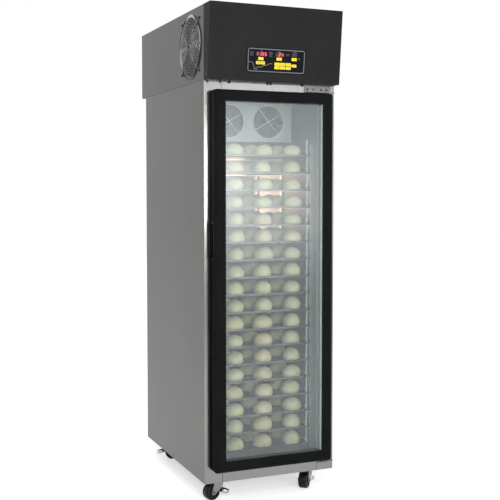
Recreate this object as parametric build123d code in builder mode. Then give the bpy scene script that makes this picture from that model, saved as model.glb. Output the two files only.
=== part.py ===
from build123d import *
from math import atan2, cos, degrees, radians, sin, tan
import os

os.makedirs("parts", exist_ok=True)

# Retarder proofer: an insulated upright cabinet with a glass door, a tray rack and a
# machine compartment on top. All sizes are in millimetres.
# X runs to the right as the door is faced, Y runs from the door to the back, Z is up.
# The origin lies on the floor, under the middle of the whole object.

# Cabinet body
CABINET_W = 620.0
CABINET_D = 854.0
BODY_H = 1733.0
SHEET = 1.5
WALL_T = 55.0
FLOOR_T = 80.0
CEILING_T = 66.0
STILE_W = 82.0
JAMB_D = 62.0
SEAM_GAP = 0.3
CORNER_R = 1.2

# Machine compartment on top
TOP_H = 318.0
TOP_OVERHANG = 68.0
SEAM_LINE = 1.2
LOUVRE_W = 190.0
LOUVRE_H = 7.0
LOUVRE_PITCH = 20.0
LOUVRE_ROWS = 9
LOUVRE_X = 135.0

# Control fascia, display and keys
FASCIA_BOTTOM = 49.0
FASCIA_TOP = 80.0
DISPLAY_W = 276.0
DISPLAY_H = 106.0
DISPLAY_R = 9.0
DISPLAY_V = 88.5
DISPLAY_T = 2.0
WINDOW_MARGIN = 6.0
KEY_W = 25.0
KEY_H = 13.5
PILL_W = 20.0
SIDE_KEY_W = 21.0
KEY_R = 2.0
KEY_PROUD = 1.4
KEY_BACK = 5.0
KEY_GAP = 0.3
BOARD_T = 1.6
BOARD_SETBACK = 10.0

# Places on the display, from its top left corner: across, down, width, height
KEYS = (
    (64.7, 47.0, KEY_W, KEY_H),
    (150.0, 45.0, KEY_W, KEY_H),
    (221.0, 43.0, KEY_W, KEY_H),
    (53.0, 64.4, PILL_W, KEY_H),
    (74.2, 64.4, PILL_W, KEY_H),
    (141.5, 66.3, KEY_W, KEY_H),
    (168.0, 66.3, KEY_W, KEY_H),
    (194.5, 66.3, KEY_W, KEY_H),
    (141.5, 81.3, KEY_W, KEY_H),
    (168.0, 81.3, KEY_W, KEY_H),
    (194.5, 81.3, KEY_W, KEY_H),
    (222.5, 70.5, SIDE_KEY_W, KEY_H),
)
DIGIT_WINDOWS = (
    (67.5, 27.5, 51.0, 17.5),
    (152.5, 26.5, 39.0, 17.0),
    (222.0, 24.0, 24.0, 14.5),
)

# Door
DOOR_MARGIN = 30.0
DOOR_BOTTOM = 55.0
DOOR_TOP_MARGIN = 40.0
DOOR_T = 45.0
DOOR_STANDOFF = 9.0
DOOR_FACE_W = 46.0
DOOR_BEVEL = 9.0
DOOR_CORNER_R = 12.0
GLASS_LAP = 6.0
GLASS_LIP = 5.0
PANE_T = 4.0
PANE_GAP = 20.0
BEAD_W = 9.0
PANE_CLEARANCE = 0.3
GASKET_INSET = 11.0
GASKET_W = 12.0
GASKET_CLEARANCE = 0.3

# Handle recessed in the free edge of the door
HANDLE_Z = 1052.0
HANDLE_L = 162.0
HANDLE_W = DOOR_T - DOOR_BEVEL - 4.0
HANDLE_PROUD = 3.5
HANDLE_RIM = 8.0
HANDLE_DEPTH = 15.0
HANDLE_WALL = 2.0
HANDLE_CLEARANCE = 0.3

# Hinges on the right
PIVOT_INSET = 10.0
PIVOT_OUT = 34.0
PIN_R = 5.0
PIN_L = 12.0
PIN_CLEARANCE = 0.05
HINGE_T = 3.0
HINGE_GAP = 3.0
HINGE_W = 128.0
HINGE_END = 20.0
HINGE_REACH = 44.0
HINGE_LEG = 30.0
LOWER_HINGE_W = 56.0
LOWER_HINGE_LEG = 20.0
WASHER_R = 9.0
RUNNING_GAP = 0.3
HINGE_SCREW_X = (13.0, 43.0, 81.0, 108.0)
LOWER_SCREW_X = (12.0, 44.0)

# Tray rack, trays and their load
TRAY_PITCH = 78.0
TRAY_Z = 93.0
TRAY_SIDE_GAP = 26.5
TRAY_REAR_GAP = 39.0
TRAY_TOP_ROOM = 66.0
TRAY_H = 9.0
TRAY_T = 1.2
TRAY_RIM = 4.0
TRAY_RIM_T = 3.0
TRAY_SETBACK = 100.0
TRAY_W = CABINET_W - 2 * (WALL_T + TRAY_SIDE_GAP)
TRAY_D = CABINET_D - TRAY_SETBACK - WALL_T - TRAY_REAR_GAP
UPRIGHT_W = 20.0
UPRIGHT_T = 10.0
UPRIGHT_ABOVE = 58.0
UPRIGHT_INSET = 15.0
RUNNER_H = 20.0
RUNNER_LEDGE = 26.0
DOUGH_R = 44.0
DOUGH_H = 61.0
DOUGH_ROWS = 5
DOUGH_SETBACK = 50.0
DOUGH_REAR_GAP = 98.0
DOUGH_ROW_PITCH = (TRAY_D - DOUGH_SETBACK - DOUGH_REAR_GAP) / (DOUGH_ROWS - 1)

# Places of the dough across a tray, as shares of its width, in every other row
DOUGH_COLUMNS = (0.2516, 0.5558, 0.8709)
DOUGH_COLUMNS_BETWEEN = (0.2188, 0.5252, 0.8403)

# Evaporator unit under the ceiling
EVAP_SIDE_GAP = 38.0
EVAP_W = CABINET_W - 2 * (WALL_T + EVAP_SIDE_GAP)
EVAP_SETBACK = 250.0
EVAP_REAR_GAP = 129.0
EVAP_D = CABINET_D - EVAP_SETBACK - WALL_T - EVAP_REAR_GAP
EVAP_H = 177.0
EVAP_FAN_INSET = 9.5
EVAP_FAN_X = EVAP_W / 4 - EVAP_FAN_INSET
EVAP_FAN_Z = 93.0
EVAP_HOLE_R = 74.0
EVAP_GUARD_R = 78.0
EVAP_GUARD_RIM = 4.5
EVAP_GUARD_RINGS = 8
EVAP_GUARD_PITCH = 9.0
EVAP_COIL_SETBACK = 110.0
EVAP_COIL_D = 80.0
EVAP_COIL_MARGIN = 25.0

# Condenser fan guard on the left side
GUARD_STAND = 12.0
GUARD_R = TOP_H / 2 - 17.0
GUARD_HUB_R = 11.0
GUARD_RINGS = 14
GUARD_INNER_R = 22.4
GUARD_PITCH = (GUARD_R - GUARD_INNER_R) / (GUARD_RINGS - 1)
WIRE = 2.6
GUARD_RIM_T = 3.0
GUARD_FOOT_R = GUARD_R + 15.0
GUARD_FOOT_L = 32.0
GUARD_FOOT_W = 13.0
GUARD_FOOT_T = 2.0
CONDENSER_FAN_Y = 168.0

# Fans
EVAP_FAN_R = 65.0
EVAP_FAN_DEPTH = 24.0
CONDENSER_HOLE_R = GUARD_R - 14.0
CONDENSER_FAN_R = CONDENSER_HOLE_R - 8.0
CONDENSER_FAN_DEPTH = 34.0
FAN_GAP = 12.0
HUB_R = 18.0
SHAFT_R = 3.0
SHAFT_CLEARANCE = 0.05
MOTOR_R = 27.0
MOTOR_L = 45.0
MOTOR_GAP = 3.0
MOTOR_ARM_W = 12.0
MOTOR_ARM_T = 3.0
BLADE_T = 2.0
BLADE_TILT = 35.0

# Screws
SCREW_R = 2.0
SCREW_HEAD_R = 4.2
SCREW_HEAD_T = 2.4
SCREW_L = 8.0
HOLE_CLEARANCE = 0.3
FASCIA_SCREW_SPOTS = ((-30.0, 25.0), (-30.0, 128.0))

# Machinery in the top compartment
CONDENSER_X = 110.0
CONDENSER_T = 45.0
CONDENSER_D = 290.0
CONDENSER_Y = 24.0
CONDENSER_H = TOP_H - 28.0
FIN_PITCH = 12.0
FIN_T = 1.0
TUBE_R = 5.0
TUBE_ROWS = 4
END_PLATE_T = 2.0
COMPRESSOR_R = 78.0
COMPRESSOR_H = 170.0
COMPRESSOR_X = 430.0
COMPRESSOR_Y = 560.0
COMPRESSOR_BASE = 190.0
COMPRESSOR_BASE_T = 5.0

# Service connections
GLAND_X = 80.0
GLAND_Y = 35.0
GLAND_R = 11.0
GLAND_THREAD_R = 8.0
GLAND_BORE_R = 4.5
GLAND_DROP = 22.0
GLAND_NUT_T = 6.0
DRAIN_R = 8.0
DRAIN_BORE_R = 6.0
DRAIN_OUT = 34.0
DRAIN_UP = 22.0
DRAIN_X = 0.0
DRAIN_FLANGE_R = 15.0
DRAIN_FLANGE_T = 2.0

# Casters
CASTER_H = 88.0
WHEEL_ROOM = 16.0
WHEEL_R = (CASTER_H - WHEEL_ROOM) / 2
WHEEL_W = 40.0
WHEEL_EDGE_R = 8.0
WHEEL_DISH_R = 25.0
WHEEL_DISH_DEPTH = 4.0
WHEEL_HUB_R = 11.0
WHEEL_GAP = 1.5
AXLE_R = 4.0
AXLE_CLEARANCE = 0.05
TRAIL = 25.0
FORK_T = 2.5
BRIDGE_L = 44.0
BRIDGE_T = 3.0
AXLE_BOSS_R = 11.0
AXLE_HEAD_R = 7.0
AXLE_HEAD_T = 4.0
PLATE_L = 92.0
PLATE_W = 64.0
PLATE_T = 3.0
RACEWAY_R = 22.0
RACEWAY_T = 5.7
KINGPIN_R = 6.0
KINGPIN_HEAD_R = 8.0
KINGPIN_HEAD_T = 2.5
BOLT_X = 38.0
BOLT_Y = 22.5
BOLT_R = 4.0
BOLT_HEAD_R = 7.5
BOLT_HEAD_T = 5.0
BOLT_L = 16.0
PEDAL_PIVOT_X = 14.0
PEDAL_PIVOT_DROP = 26.0
PEDAL_PIN_R = 3.0
PEDAL_BOSS_R = 7.0
PEDAL_X = 36.0
PEDAL_DROP = 46.0
PEDAL_LONG = 18.0
PEDAL_WIDE = 18.0
PEDAL_SKIRT = 14.0
PEDAL_WALL = 1.6
PEDAL_ARM_W = 16.0
CASTER_LEFT = 75.0
CASTER_RIGHT = 105.0
CASTER_FRONT = 60.0
CASTER_REAR = 112.0

# Main planes of the cabinet in the shared frame
LEFT = GUARD_STAND / 2 - CABINET_W / 2
RIGHT = LEFT + CABINET_W
MIDDLE = (LEFT + RIGHT) / 2
FRONT = FASCIA_TOP - (CABINET_D + TOP_OVERHANG + FASCIA_TOP) / 2
BACK = FRONT + CABINET_D
REAR = BACK + TOP_OVERHANG
BASE = CASTER_H
SEAM = BASE + BODY_H
TOP = SEAM + TOP_H

# Inner faces of the chamber
IN_LEFT = LEFT + WALL_T
IN_RIGHT = RIGHT - WALL_T
IN_BACK = BACK - WALL_T
IN_FLOOR = BASE + FLOOR_T
IN_CEILING = SEAM - CEILING_T

# Door faces
DOOR_LEFT = LEFT + DOOR_MARGIN
DOOR_RIGHT = RIGHT - DOOR_MARGIN
DOOR_LOW = BASE + DOOR_BOTTOM
DOOR_HIGH = SEAM - DOOR_TOP_MARGIN
DOOR_BACK = FRONT - DOOR_STANDOFF
DOOR_FRONT = DOOR_BACK - DOOR_T
PIVOT_X = DOOR_RIGHT - PIVOT_INSET
PIVOT_Y = FRONT - PIVOT_OUT

# Trays: their left edge and front edge
TRAY_LEFT = MIDDLE - TRAY_W / 2
TRAY_FRONT = FRONT + TRAY_SETBACK

# Evaporator unit
EVAP_LEFT = MIDDLE - EVAP_W / 2
EVAP_RIGHT = MIDDLE + EVAP_W / 2
EVAP_FRONT = FRONT + EVAP_SETBACK
EVAP_BACK = EVAP_FRONT + EVAP_D
EVAP_LOW = IN_CEILING - EVAP_H
EVAP_FAN_HEIGHT = EVAP_LOW + EVAP_FAN_Z

# As many tray levels as fit under the evaporator unit, and the underside of each
TRAY_SPACE = EVAP_LOW - (BASE + TRAY_Z) - TRAY_TOP_ROOM
TRAY_COUNT = int(TRAY_SPACE / TRAY_PITCH) + 1
TRAY_LEVELS = [BASE + TRAY_Z + TRAY_PITCH * level for level in range(TRAY_COUNT)]
UPRIGHT_TOP = TRAY_LEVELS[-1] + UPRIGHT_ABOVE
EVAP_FANS = (("left", MIDDLE - EVAP_FAN_X), ("right", MIDDLE + EVAP_FAN_X))

# Condenser fan axis
FAN_Y = FRONT + CONDENSER_FAN_Y
FAN_Z = (SEAM + TOP) / 2

# The face of the fascia leans out towards its top; its plane has X across and Y up it
FASCIA_TILT = degrees(atan2(FASCIA_TOP - FASCIA_BOTTOM, TOP_H))
FACE = Plane(
    origin=(MIDDLE, FRONT - FASCIA_BOTTOM, SEAM),
    x_dir=(1, 0, 0),
    z_dir=(0, -cos(radians(FASCIA_TILT)), -sin(radians(FASCIA_TILT))),
)

# Casters: name, kingpin place, direction of the brake pedal in degrees from +X
CASTERS = (
    ("front_left", LEFT + CASTER_LEFT, FRONT + CASTER_FRONT, 12.0),
    ("front_right", RIGHT - CASTER_RIGHT, FRONT + CASTER_FRONT, 46.0),
    ("rear_left", LEFT + CASTER_LEFT, BACK - CASTER_REAR, 127.0),
    ("rear_right", RIGHT - CASTER_RIGHT, BACK - CASTER_REAR, 20.0),
)
BOLT_SPOTS = [
    (x + sx * BOLT_X, y + sy * BOLT_Y)
    for _, x, y, _ in CASTERS
    for sx in (-1, 1)
    for sy in (-1, 1)
]


def block(x0, x1, y0, y1, z0, z1, mode=Mode.ADD):
    """A rectangular block between two opposite corners."""
    with Locations(((x0 + x1) / 2, (y0 + y1) / 2, (z0 + z1) / 2)):
        Box(x1 - x0, y1 - y0, z1 - z0, mode=mode)


def front_plane(y):
    """Plane facing the viewer at the depth y, for sketches in X and Z."""
    return Plane(origin=(0, y, 0), x_dir=(1, 0, 0), z_dir=(0, -1, 0))


def side_plane(x):
    """Plane facing +X at x, for sketches in Y and Z."""
    return Plane(origin=(x, 0, 0), x_dir=(0, 1, 0), z_dir=(1, 0, 0))


def on_display(across, down):
    """Place on the face of the fascia of a point given from the display's corner."""
    return (across - DISPLAY_W / 2, DISPLAY_V + DISPLAY_H / 2 - down)


# Screws that hold the hinge brackets, as places on the front frame
TOP_HINGE_X = RIGHT - HINGE_END - HINGE_W
LOWER_HINGE_X = RIGHT - HINGE_END - LOWER_HINGE_W
TOP_ARM_Z = DOOR_HIGH + HINGE_GAP
LOWER_ARM_Z = DOOR_LOW - HINGE_GAP
HINGE_SCREWS = [(TOP_HINGE_X + x, TOP_ARM_Z + HINGE_LEG * 0.55) for x in HINGE_SCREW_X]
HINGE_SCREWS += [(LOWER_HINGE_X + x, LOWER_ARM_Z - LOWER_HINGE_LEG * 0.6) for x in LOWER_SCREW_X]


def hinge_screw_holes():
    """Clearance holes for the hinge screws, from the front into the wall."""
    with Locations(*[(x, FRONT, z) for x, z in HINGE_SCREWS]):
        depth = 2 * (HINGE_T + SCREW_L + 1)
        Cylinder(SCREW_R + HOLE_CLEARANCE, depth, rotation=(90, 0, 0), mode=Mode.SUBTRACT)


def caster_bolt_holes():
    """Clearance holes for the caster bolts, from below into the base."""
    with Locations(*[(x, y, BASE) for x, y in BOLT_SPOTS]):
        Cylinder(BOLT_R + HOLE_CLEARANCE, 2 * (BOLT_L + 1), mode=Mode.SUBTRACT)


def drain_hole():
    """Clearance hole for the drain spigot, through the whole rear wall."""
    with Locations((MIDDLE + DRAIN_X, (IN_BACK + BACK) / 2, IN_FLOOR + DRAIN_UP)):
        radius = DRAIN_R + HOLE_CLEARANCE
        Cylinder(radius, WALL_T + 2, rotation=(90, 0, 0), mode=Mode.SUBTRACT)


# Outer panels of the insulated body
with BuildPart() as side_panels:
    block(LEFT, LEFT + SHEET, FRONT + SHEET, BACK, BASE, SEAM)
    block(RIGHT - SHEET, RIGHT, FRONT + SHEET, BACK, BASE, SEAM)
side_panels.part.label = "side_panels"
export_step(side_panels.part, "parts/side_panels.step")

with BuildPart() as rear_panel:
    block(LEFT + SHEET, RIGHT - SHEET, BACK - SHEET, BACK, BASE, SEAM)
    drain_hole()
rear_panel.part.label = "rear_panel"
export_step(rear_panel.part, "parts/rear_panel.step")

with BuildPart() as base_panel:
    block(LEFT + SHEET, RIGHT - SHEET, FRONT + SHEET, BACK - SHEET, BASE, BASE + SHEET)
    caster_bolt_holes()
base_panel.part.label = "base_panel"
export_step(base_panel.part, "parts/base_panel.step")

# Front frame: two stiles that widen at their ends, and the rails between them
with BuildPart() as front_frame:
    block(LEFT, LEFT + STILE_W, FRONT, FRONT + SHEET, BASE, SEAM)
    block(RIGHT - STILE_W, RIGHT, FRONT, FRONT + SHEET, BASE, SEAM)
    corners = front_frame.edges().filter_by(Axis.Z).group_by(Axis.Y)[0]
    fillet([corners.sort_by(Axis.X)[0], corners.sort_by(Axis.X)[-1]], radius=CORNER_R)
    block(IN_LEFT, IN_RIGHT, FRONT - 1, FRONT + SHEET + 1, IN_FLOOR, IN_CEILING, mode=Mode.SUBTRACT)
    rail_left = LEFT + STILE_W + SEAM_LINE
    rail_right = RIGHT - STILE_W - SEAM_LINE
    block(rail_left, rail_right, FRONT, FRONT + SHEET, BASE, IN_FLOOR)
    block(rail_left, rail_right, FRONT, FRONT + SHEET, IN_CEILING, SEAM)
    hinge_screw_holes()
front_frame.part.label = "front_frame"
export_step(front_frame.part, "parts/front_frame.step")

# Foam slabs that fill the walls, floor and ceiling
with BuildPart() as foam_insulation:
    slab_left = IN_LEFT - SHEET
    slab_right = IN_RIGHT + SHEET
    slab_back = IN_BACK + SHEET
    slab_front = FRONT + SHEET
    block(LEFT + SHEET, slab_left, slab_front, BACK - SHEET, BASE + SHEET, SEAM)
    block(slab_right, RIGHT - SHEET, slab_front, BACK - SHEET, BASE + SHEET, SEAM)
    inner_left = slab_left + SEAM_GAP
    inner_right = slab_right - SEAM_GAP
    block(inner_left, inner_right, slab_back, BACK - SHEET, BASE + SHEET, SEAM)
    slab_end = slab_back - SEAM_GAP
    block(inner_left, inner_right, slab_front, slab_end, BASE + SHEET, IN_FLOOR - SHEET)
    block(inner_left, inner_right, slab_front, slab_end, IN_CEILING + SHEET, SEAM)
    caster_bolt_holes()
    hinge_screw_holes()
    drain_hole()
foam_insulation.part.label = "foam_insulation"
export_step(foam_insulation.part, "parts/foam_insulation.step")

# Stainless lining of the chamber, five panels that meet in thin seams
with BuildPart() as inner_liner:
    liner_front = FRONT + JAMB_D
    block(IN_LEFT - SHEET, IN_LEFT, liner_front, IN_BACK, IN_FLOOR, IN_CEILING)
    block(IN_RIGHT, IN_RIGHT + SHEET, liner_front, IN_BACK, IN_FLOOR, IN_CEILING)
    liner_left = IN_LEFT + SEAM_GAP
    liner_right = IN_RIGHT - SEAM_GAP
    block(liner_left, liner_right, IN_BACK, IN_BACK + SHEET, IN_FLOOR, IN_CEILING)
    liner_end = IN_BACK - SEAM_GAP
    block(liner_left, liner_right, liner_front, liner_end, IN_FLOOR - SHEET, IN_FLOOR)
    block(liner_left, liner_right, liner_front, liner_end, IN_CEILING, IN_CEILING + SHEET)
    drain_hole()
inner_liner.part.label = "inner_liner"
export_step(inner_liner.part, "parts/inner_liner.step")

# Pale trim strips that keep the cold liner apart from the outer frame
with BuildPart() as jamb_trim:
    trim_front = FRONT + SHEET
    trim_back = FRONT + JAMB_D - SEAM_GAP
    block(IN_LEFT - SHEET, IN_LEFT, trim_front, trim_back, IN_FLOOR, IN_CEILING)
    block(IN_RIGHT, IN_RIGHT + SHEET, trim_front, trim_back, IN_FLOOR, IN_CEILING)
    trim_left = IN_LEFT + SEAM_GAP
    trim_right = IN_RIGHT - SEAM_GAP
    block(trim_left, trim_right, trim_front, trim_back, IN_FLOOR - SHEET, IN_FLOOR)
    block(trim_left, trim_right, trim_front, trim_back, IN_CEILING, IN_CEILING + SHEET)
jamb_trim.part.label = "jamb_trim"
export_step(jamb_trim.part, "parts/jamb_trim.step")


def rack_side(wall, inward):
    """Uprights and runners of one rack side; inward is 1 on the left and -1 on the right."""
    post = sorted((wall + inward * SEAM_GAP, wall + inward * (SEAM_GAP + UPRIGHT_T)))
    hollow = sorted((wall, wall + inward * (SEAM_GAP + UPRIGHT_T - SHEET)))
    first = TRAY_FRONT + UPRIGHT_INSET
    last = TRAY_FRONT + TRAY_D - UPRIGHT_INSET - UPRIGHT_W
    for y in (first, (first + last) / 2, last):
        block(*post, y, y + UPRIGHT_W, IN_FLOOR, UPRIGHT_TOP)
        inner = (y + SHEET, y + UPRIGHT_W - SHEET)
        block(*hollow, *inner, IN_FLOOR - 1, UPRIGHT_TOP + 1, mode=Mode.SUBTRACT)
    leg = wall + inward * (2 * SEAM_GAP + UPRIGHT_T)
    web = sorted((leg, leg + inward * SHEET))
    ledge = sorted((leg, leg + inward * RUNNER_LEDGE))
    for z in TRAY_LEVELS:
        block(*ledge, TRAY_FRONT, TRAY_FRONT + TRAY_D, z - SHEET, z)
        block(*web, TRAY_FRONT, TRAY_FRONT + TRAY_D, z - SHEET, z - SHEET + RUNNER_H)


# Rack: three uprights a side, and an angle runner a side under every tray
with BuildPart() as tray_rack:
    rack_side(IN_LEFT, 1)
    rack_side(IN_RIGHT, -1)
tray_rack.part.label = "tray_rack"
export_step(tray_rack.part, "parts/tray_rack.step")

# One shallow tray with a thick rim, at the height zero
with BuildPart() as tray:
    tray_right = TRAY_LEFT + TRAY_W
    tray_back = TRAY_FRONT + TRAY_D
    pan_left = TRAY_LEFT + TRAY_RIM - TRAY_T
    pan_right = tray_right - TRAY_RIM + TRAY_T
    pan_front = TRAY_FRONT + TRAY_RIM - TRAY_T
    pan_back = tray_back - TRAY_RIM + TRAY_T
    block(pan_left, pan_right, pan_front, pan_back, 0, TRAY_H)
    block(TRAY_LEFT, tray_right, TRAY_FRONT, tray_back, TRAY_H - TRAY_RIM_T, TRAY_H)
    hollow_x = (TRAY_LEFT + TRAY_RIM, tray_right - TRAY_RIM)
    hollow_y = (TRAY_FRONT + TRAY_RIM, tray_back - TRAY_RIM)
    block(*hollow_x, *hollow_y, TRAY_T, TRAY_H + 1, mode=Mode.SUBTRACT)

with BuildPart() as bakery_trays:
    with Locations(*[(0, 0, z) for z in TRAY_LEVELS]):
        add(tray.part)
bakery_trays.part.label = "bakery_trays"
export_step(bakery_trays.part, "parts/bakery_trays.step")

# One piece of dough: a round that spreads near its foot and is flat below
with BuildPart() as dough_piece:
    with BuildSketch(Plane.XZ):
        with BuildLine():
            Polyline(
                (0, 0),
                (0.80 * DOUGH_R, 0),
                (DOUGH_R, 0.30 * DOUGH_H),
                (0.93 * DOUGH_R, 0.58 * DOUGH_H),
                (0.66 * DOUGH_R, 0.86 * DOUGH_H),
                (0.30 * DOUGH_R, DOUGH_H),
                (0, DOUGH_H),
                close=True,
            )
        make_face()
    revolve(axis=Axis.Z)


def dough_spots():
    """Centres of the undersides of all dough pieces."""
    spots = []
    for z in TRAY_LEVELS:
        for row in range(DOUGH_ROWS):
            columns = DOUGH_COLUMNS_BETWEEN if row % 2 else DOUGH_COLUMNS
            y = TRAY_FRONT + DOUGH_SETBACK + DOUGH_ROW_PITCH * row
            low = z + TRAY_T + RUNNING_GAP
            spots += [(TRAY_LEFT + share * TRAY_W, y, low) for share in columns]
    return spots


with BuildPart() as dough_balls:
    with Locations(*dough_spots()):
        add(dough_piece.part)
dough_balls.part.label = "dough_balls"
export_step(dough_balls.part, "parts/dough_balls.step")

# Evaporator cover: front with two fan holes, sides and drip pan, open behind
with BuildPart() as evaporator_cover:
    block(EVAP_LEFT, EVAP_RIGHT, EVAP_FRONT, EVAP_BACK, EVAP_LOW, IN_CEILING)
    shell_x = (EVAP_LEFT + SHEET, EVAP_RIGHT - SHEET)
    shell_y = (EVAP_FRONT + SHEET, EVAP_BACK + 1)
    block(*shell_x, *shell_y, EVAP_LOW + SHEET, IN_CEILING + 1, mode=Mode.SUBTRACT)
    with BuildSketch(front_plane(EVAP_FRONT - 1)):
        with Locations(*[(x, EVAP_FAN_HEIGHT) for _, x in EVAP_FANS]):
            Circle(EVAP_HOLE_R)
    extrude(amount=-(SHEET + 2), mode=Mode.SUBTRACT)
evaporator_cover.part.label = "evaporator_cover"
export_step(evaporator_cover.part, "parts/evaporator_cover.step")

# Round guards in front of the evaporator fans: rim, rings, four spokes and a hub
with BuildPart() as evaporator_fan_guards:
    for _, x in EVAP_FANS:
        with BuildSketch(front_plane(EVAP_FRONT)):
            with Locations((x, EVAP_FAN_HEIGHT)):
                for ring in range(EVAP_GUARD_RINGS):
                    outer = EVAP_GUARD_R - EVAP_GUARD_PITCH * ring
                    Circle(outer)
                    Circle(outer - (WIRE if ring else EVAP_GUARD_RIM), mode=Mode.SUBTRACT)
                with Locations(Location((0, 0), 45)):
                    Rectangle(2 * EVAP_GUARD_R - EVAP_GUARD_RIM, WIRE)
                    Rectangle(WIRE, 2 * EVAP_GUARD_R - EVAP_GUARD_RIM)
        extrude(amount=WIRE)
evaporator_fan_guards.part.label = "evaporator_fan_guards"
export_step(evaporator_fan_guards.part, "parts/evaporator_fan_guards.step")


def finned_coil(x0, x1, y0, y1, z0, z1, along):
    """Fin pack between two end plates, with rows of tubes along X or along Y."""
    start, end = (x0, x1) if along == "x" else (y0, y1)
    count = int((end - start - 2 * END_PLATE_T) / FIN_PITCH)
    for n in range(count + 1):
        at = start + END_PLATE_T + n * (end - start - 2 * END_PLATE_T) / count
        plate = END_PLATE_T if n in (0, count) else FIN_T
        lift = 0 if n in (0, count) else END_PLATE_T
        if along == "x":
            block(at - plate / 2, at + plate / 2, y0, y1, z0 + lift, z1 - lift)
        else:
            block(x0, x1, at - plate / 2, at + plate / 2, z0 + lift, z1 - lift)
    depth = (y0, y1) if along == "x" else (x0, x1)
    for row in range(TUBE_ROWS):
        z = z0 + (row + 0.5) * (z1 - z0) / TUBE_ROWS
        for share in (0.28, 0.72):
            across = depth[0] + share * (depth[1] - depth[0])
            spot = ((x0 + x1) / 2, across, z) if along == "x" else (across, (y0 + y1) / 2, z)
            turn = (0, 90, 0) if along == "x" else (90, 0, 0)
            with Locations(spot):
                Cylinder(TUBE_R, end - start - END_PLATE_T, rotation=turn)


with BuildPart() as evaporator_coil:
    coil_front = EVAP_FRONT + EVAP_COIL_SETBACK
    finned_coil(
        EVAP_LEFT + EVAP_COIL_MARGIN,
        EVAP_RIGHT - EVAP_COIL_MARGIN,
        coil_front,
        coil_front + EVAP_COIL_D,
        EVAP_LOW + EVAP_COIL_MARGIN,
        IN_CEILING,
        "x",
    )
evaporator_coil.part.label = "evaporator_coil"
export_step(evaporator_coil.part, "parts/evaporator_coil.step")

# Fan axes: origin on the inner face of the wall that the fan blows through
EVAP_AXES = {
    side: Plane(origin=(x, EVAP_FRONT + SHEET, EVAP_FAN_HEIGHT), x_dir=(1, 0, 0), z_dir=(0, 1, 0))
    for side, x in EVAP_FANS
}
CONDENSER_AXIS = Plane(origin=(LEFT + SHEET, FAN_Y, FAN_Z), x_dir=(0, 1, 0), z_dir=(1, 0, 0))


def impeller(axis, radius, depth, blades):
    """Fan wheel: a hub with tilted blades and a blind bore for the motor shaft."""
    chord = 2 * (depth - BLADE_T) / (2 * sin(radians(BLADE_TILT)))
    reach = (radius**2 - (chord / 2) ** 2) ** 0.5
    length = reach - HUB_R + 3
    with Locations(axis):
        with Locations((0, 0, FAN_GAP + depth / 2)):
            Cylinder(HUB_R, depth)
            with PolarLocations(reach - length / 2, blades):
                Box(length, chord, BLADE_T, rotation=(BLADE_TILT, 0, 0))
        with Locations((0, 0, FAN_GAP + depth / 2 + BLADE_T)):
            Cylinder(SHAFT_R + SHAFT_CLEARANCE, depth, mode=Mode.SUBTRACT)


def fan_motor(axis, hole_radius, depth):
    """Motor with its shaft in front of a strap whose two feet stand on the wall."""
    back = FAN_GAP + depth + MOTOR_GAP
    half = hole_radius + MOTOR_ARM_W
    strap = back + MOTOR_L + RUNNING_GAP
    low = (Align.CENTER, Align.CENTER, Align.MIN)
    with Locations(axis):
        with Locations((0, 0, back)):
            Cylinder(MOTOR_R, MOTOR_L, align=low)
        with Locations((0, 0, FAN_GAP + BLADE_T + 2)):
            Cylinder(SHAFT_R, depth + MOTOR_GAP, align=low)
        with Locations((0, 0, strap)):
            Box(2 * half, MOTOR_ARM_W, MOTOR_ARM_T, align=low)
        with Locations((half - MOTOR_ARM_T / 2, 0, 0), (MOTOR_ARM_T / 2 - half, 0, 0)):
            Box(MOTOR_ARM_T, MOTOR_ARM_W, strap + MOTOR_ARM_T, align=low)


with BuildPart() as fan_motors:
    for side, _ in EVAP_FANS:
        fan_motor(EVAP_AXES[side], EVAP_HOLE_R, EVAP_FAN_DEPTH)
    fan_motor(CONDENSER_AXIS, CONDENSER_HOLE_R, CONDENSER_FAN_DEPTH)
fan_motors.part.label = "fan_motors"
export_step(fan_motors.part, "parts/fan_motors.step")

for side, _ in EVAP_FANS:
    with BuildPart() as evaporator_fan:
        impeller(EVAP_AXES[side], EVAP_FAN_R, EVAP_FAN_DEPTH, 5)
    evaporator_fan.part.label = f"evaporator_fan_{side}"
    export_step(evaporator_fan.part, f"parts/evaporator_fan_{side}.step")

with BuildPart() as condenser_fan:
    impeller(CONDENSER_AXIS, CONDENSER_FAN_R, CONDENSER_FAN_DEPTH, 5)
condenser_fan.part.label = "condenser_fan"
export_step(condenser_fan.part, "parts/condenser_fan.step")

GUARD_FEET = [
    (FAN_Y + GUARD_FOOT_R * cos(radians(a)), FAN_Z + GUARD_FOOT_R * sin(radians(a)))
    for a in (45, 135, 225, 315)
]

# Left side of the machine compartment, with the hole for the condenser fan
with BuildPart() as fan_side_panel:
    block(LEFT, LEFT + SHEET, FRONT, REAR, SEAM + SEAM_LINE, TOP - SHEET - SEAM_GAP)
    with BuildSketch(side_plane(LEFT - 1)):
        with Locations((FAN_Y, FAN_Z)):
            Circle(CONDENSER_HOLE_R)
        with Locations(*GUARD_FEET):
            Circle(SCREW_R + HOLE_CLEARANCE)
    extrude(amount=SHEET + 2, mode=Mode.SUBTRACT)
fan_side_panel.part.label = "fan_side_panel"
export_step(fan_side_panel.part, "parts/fan_side_panel.step")

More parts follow.
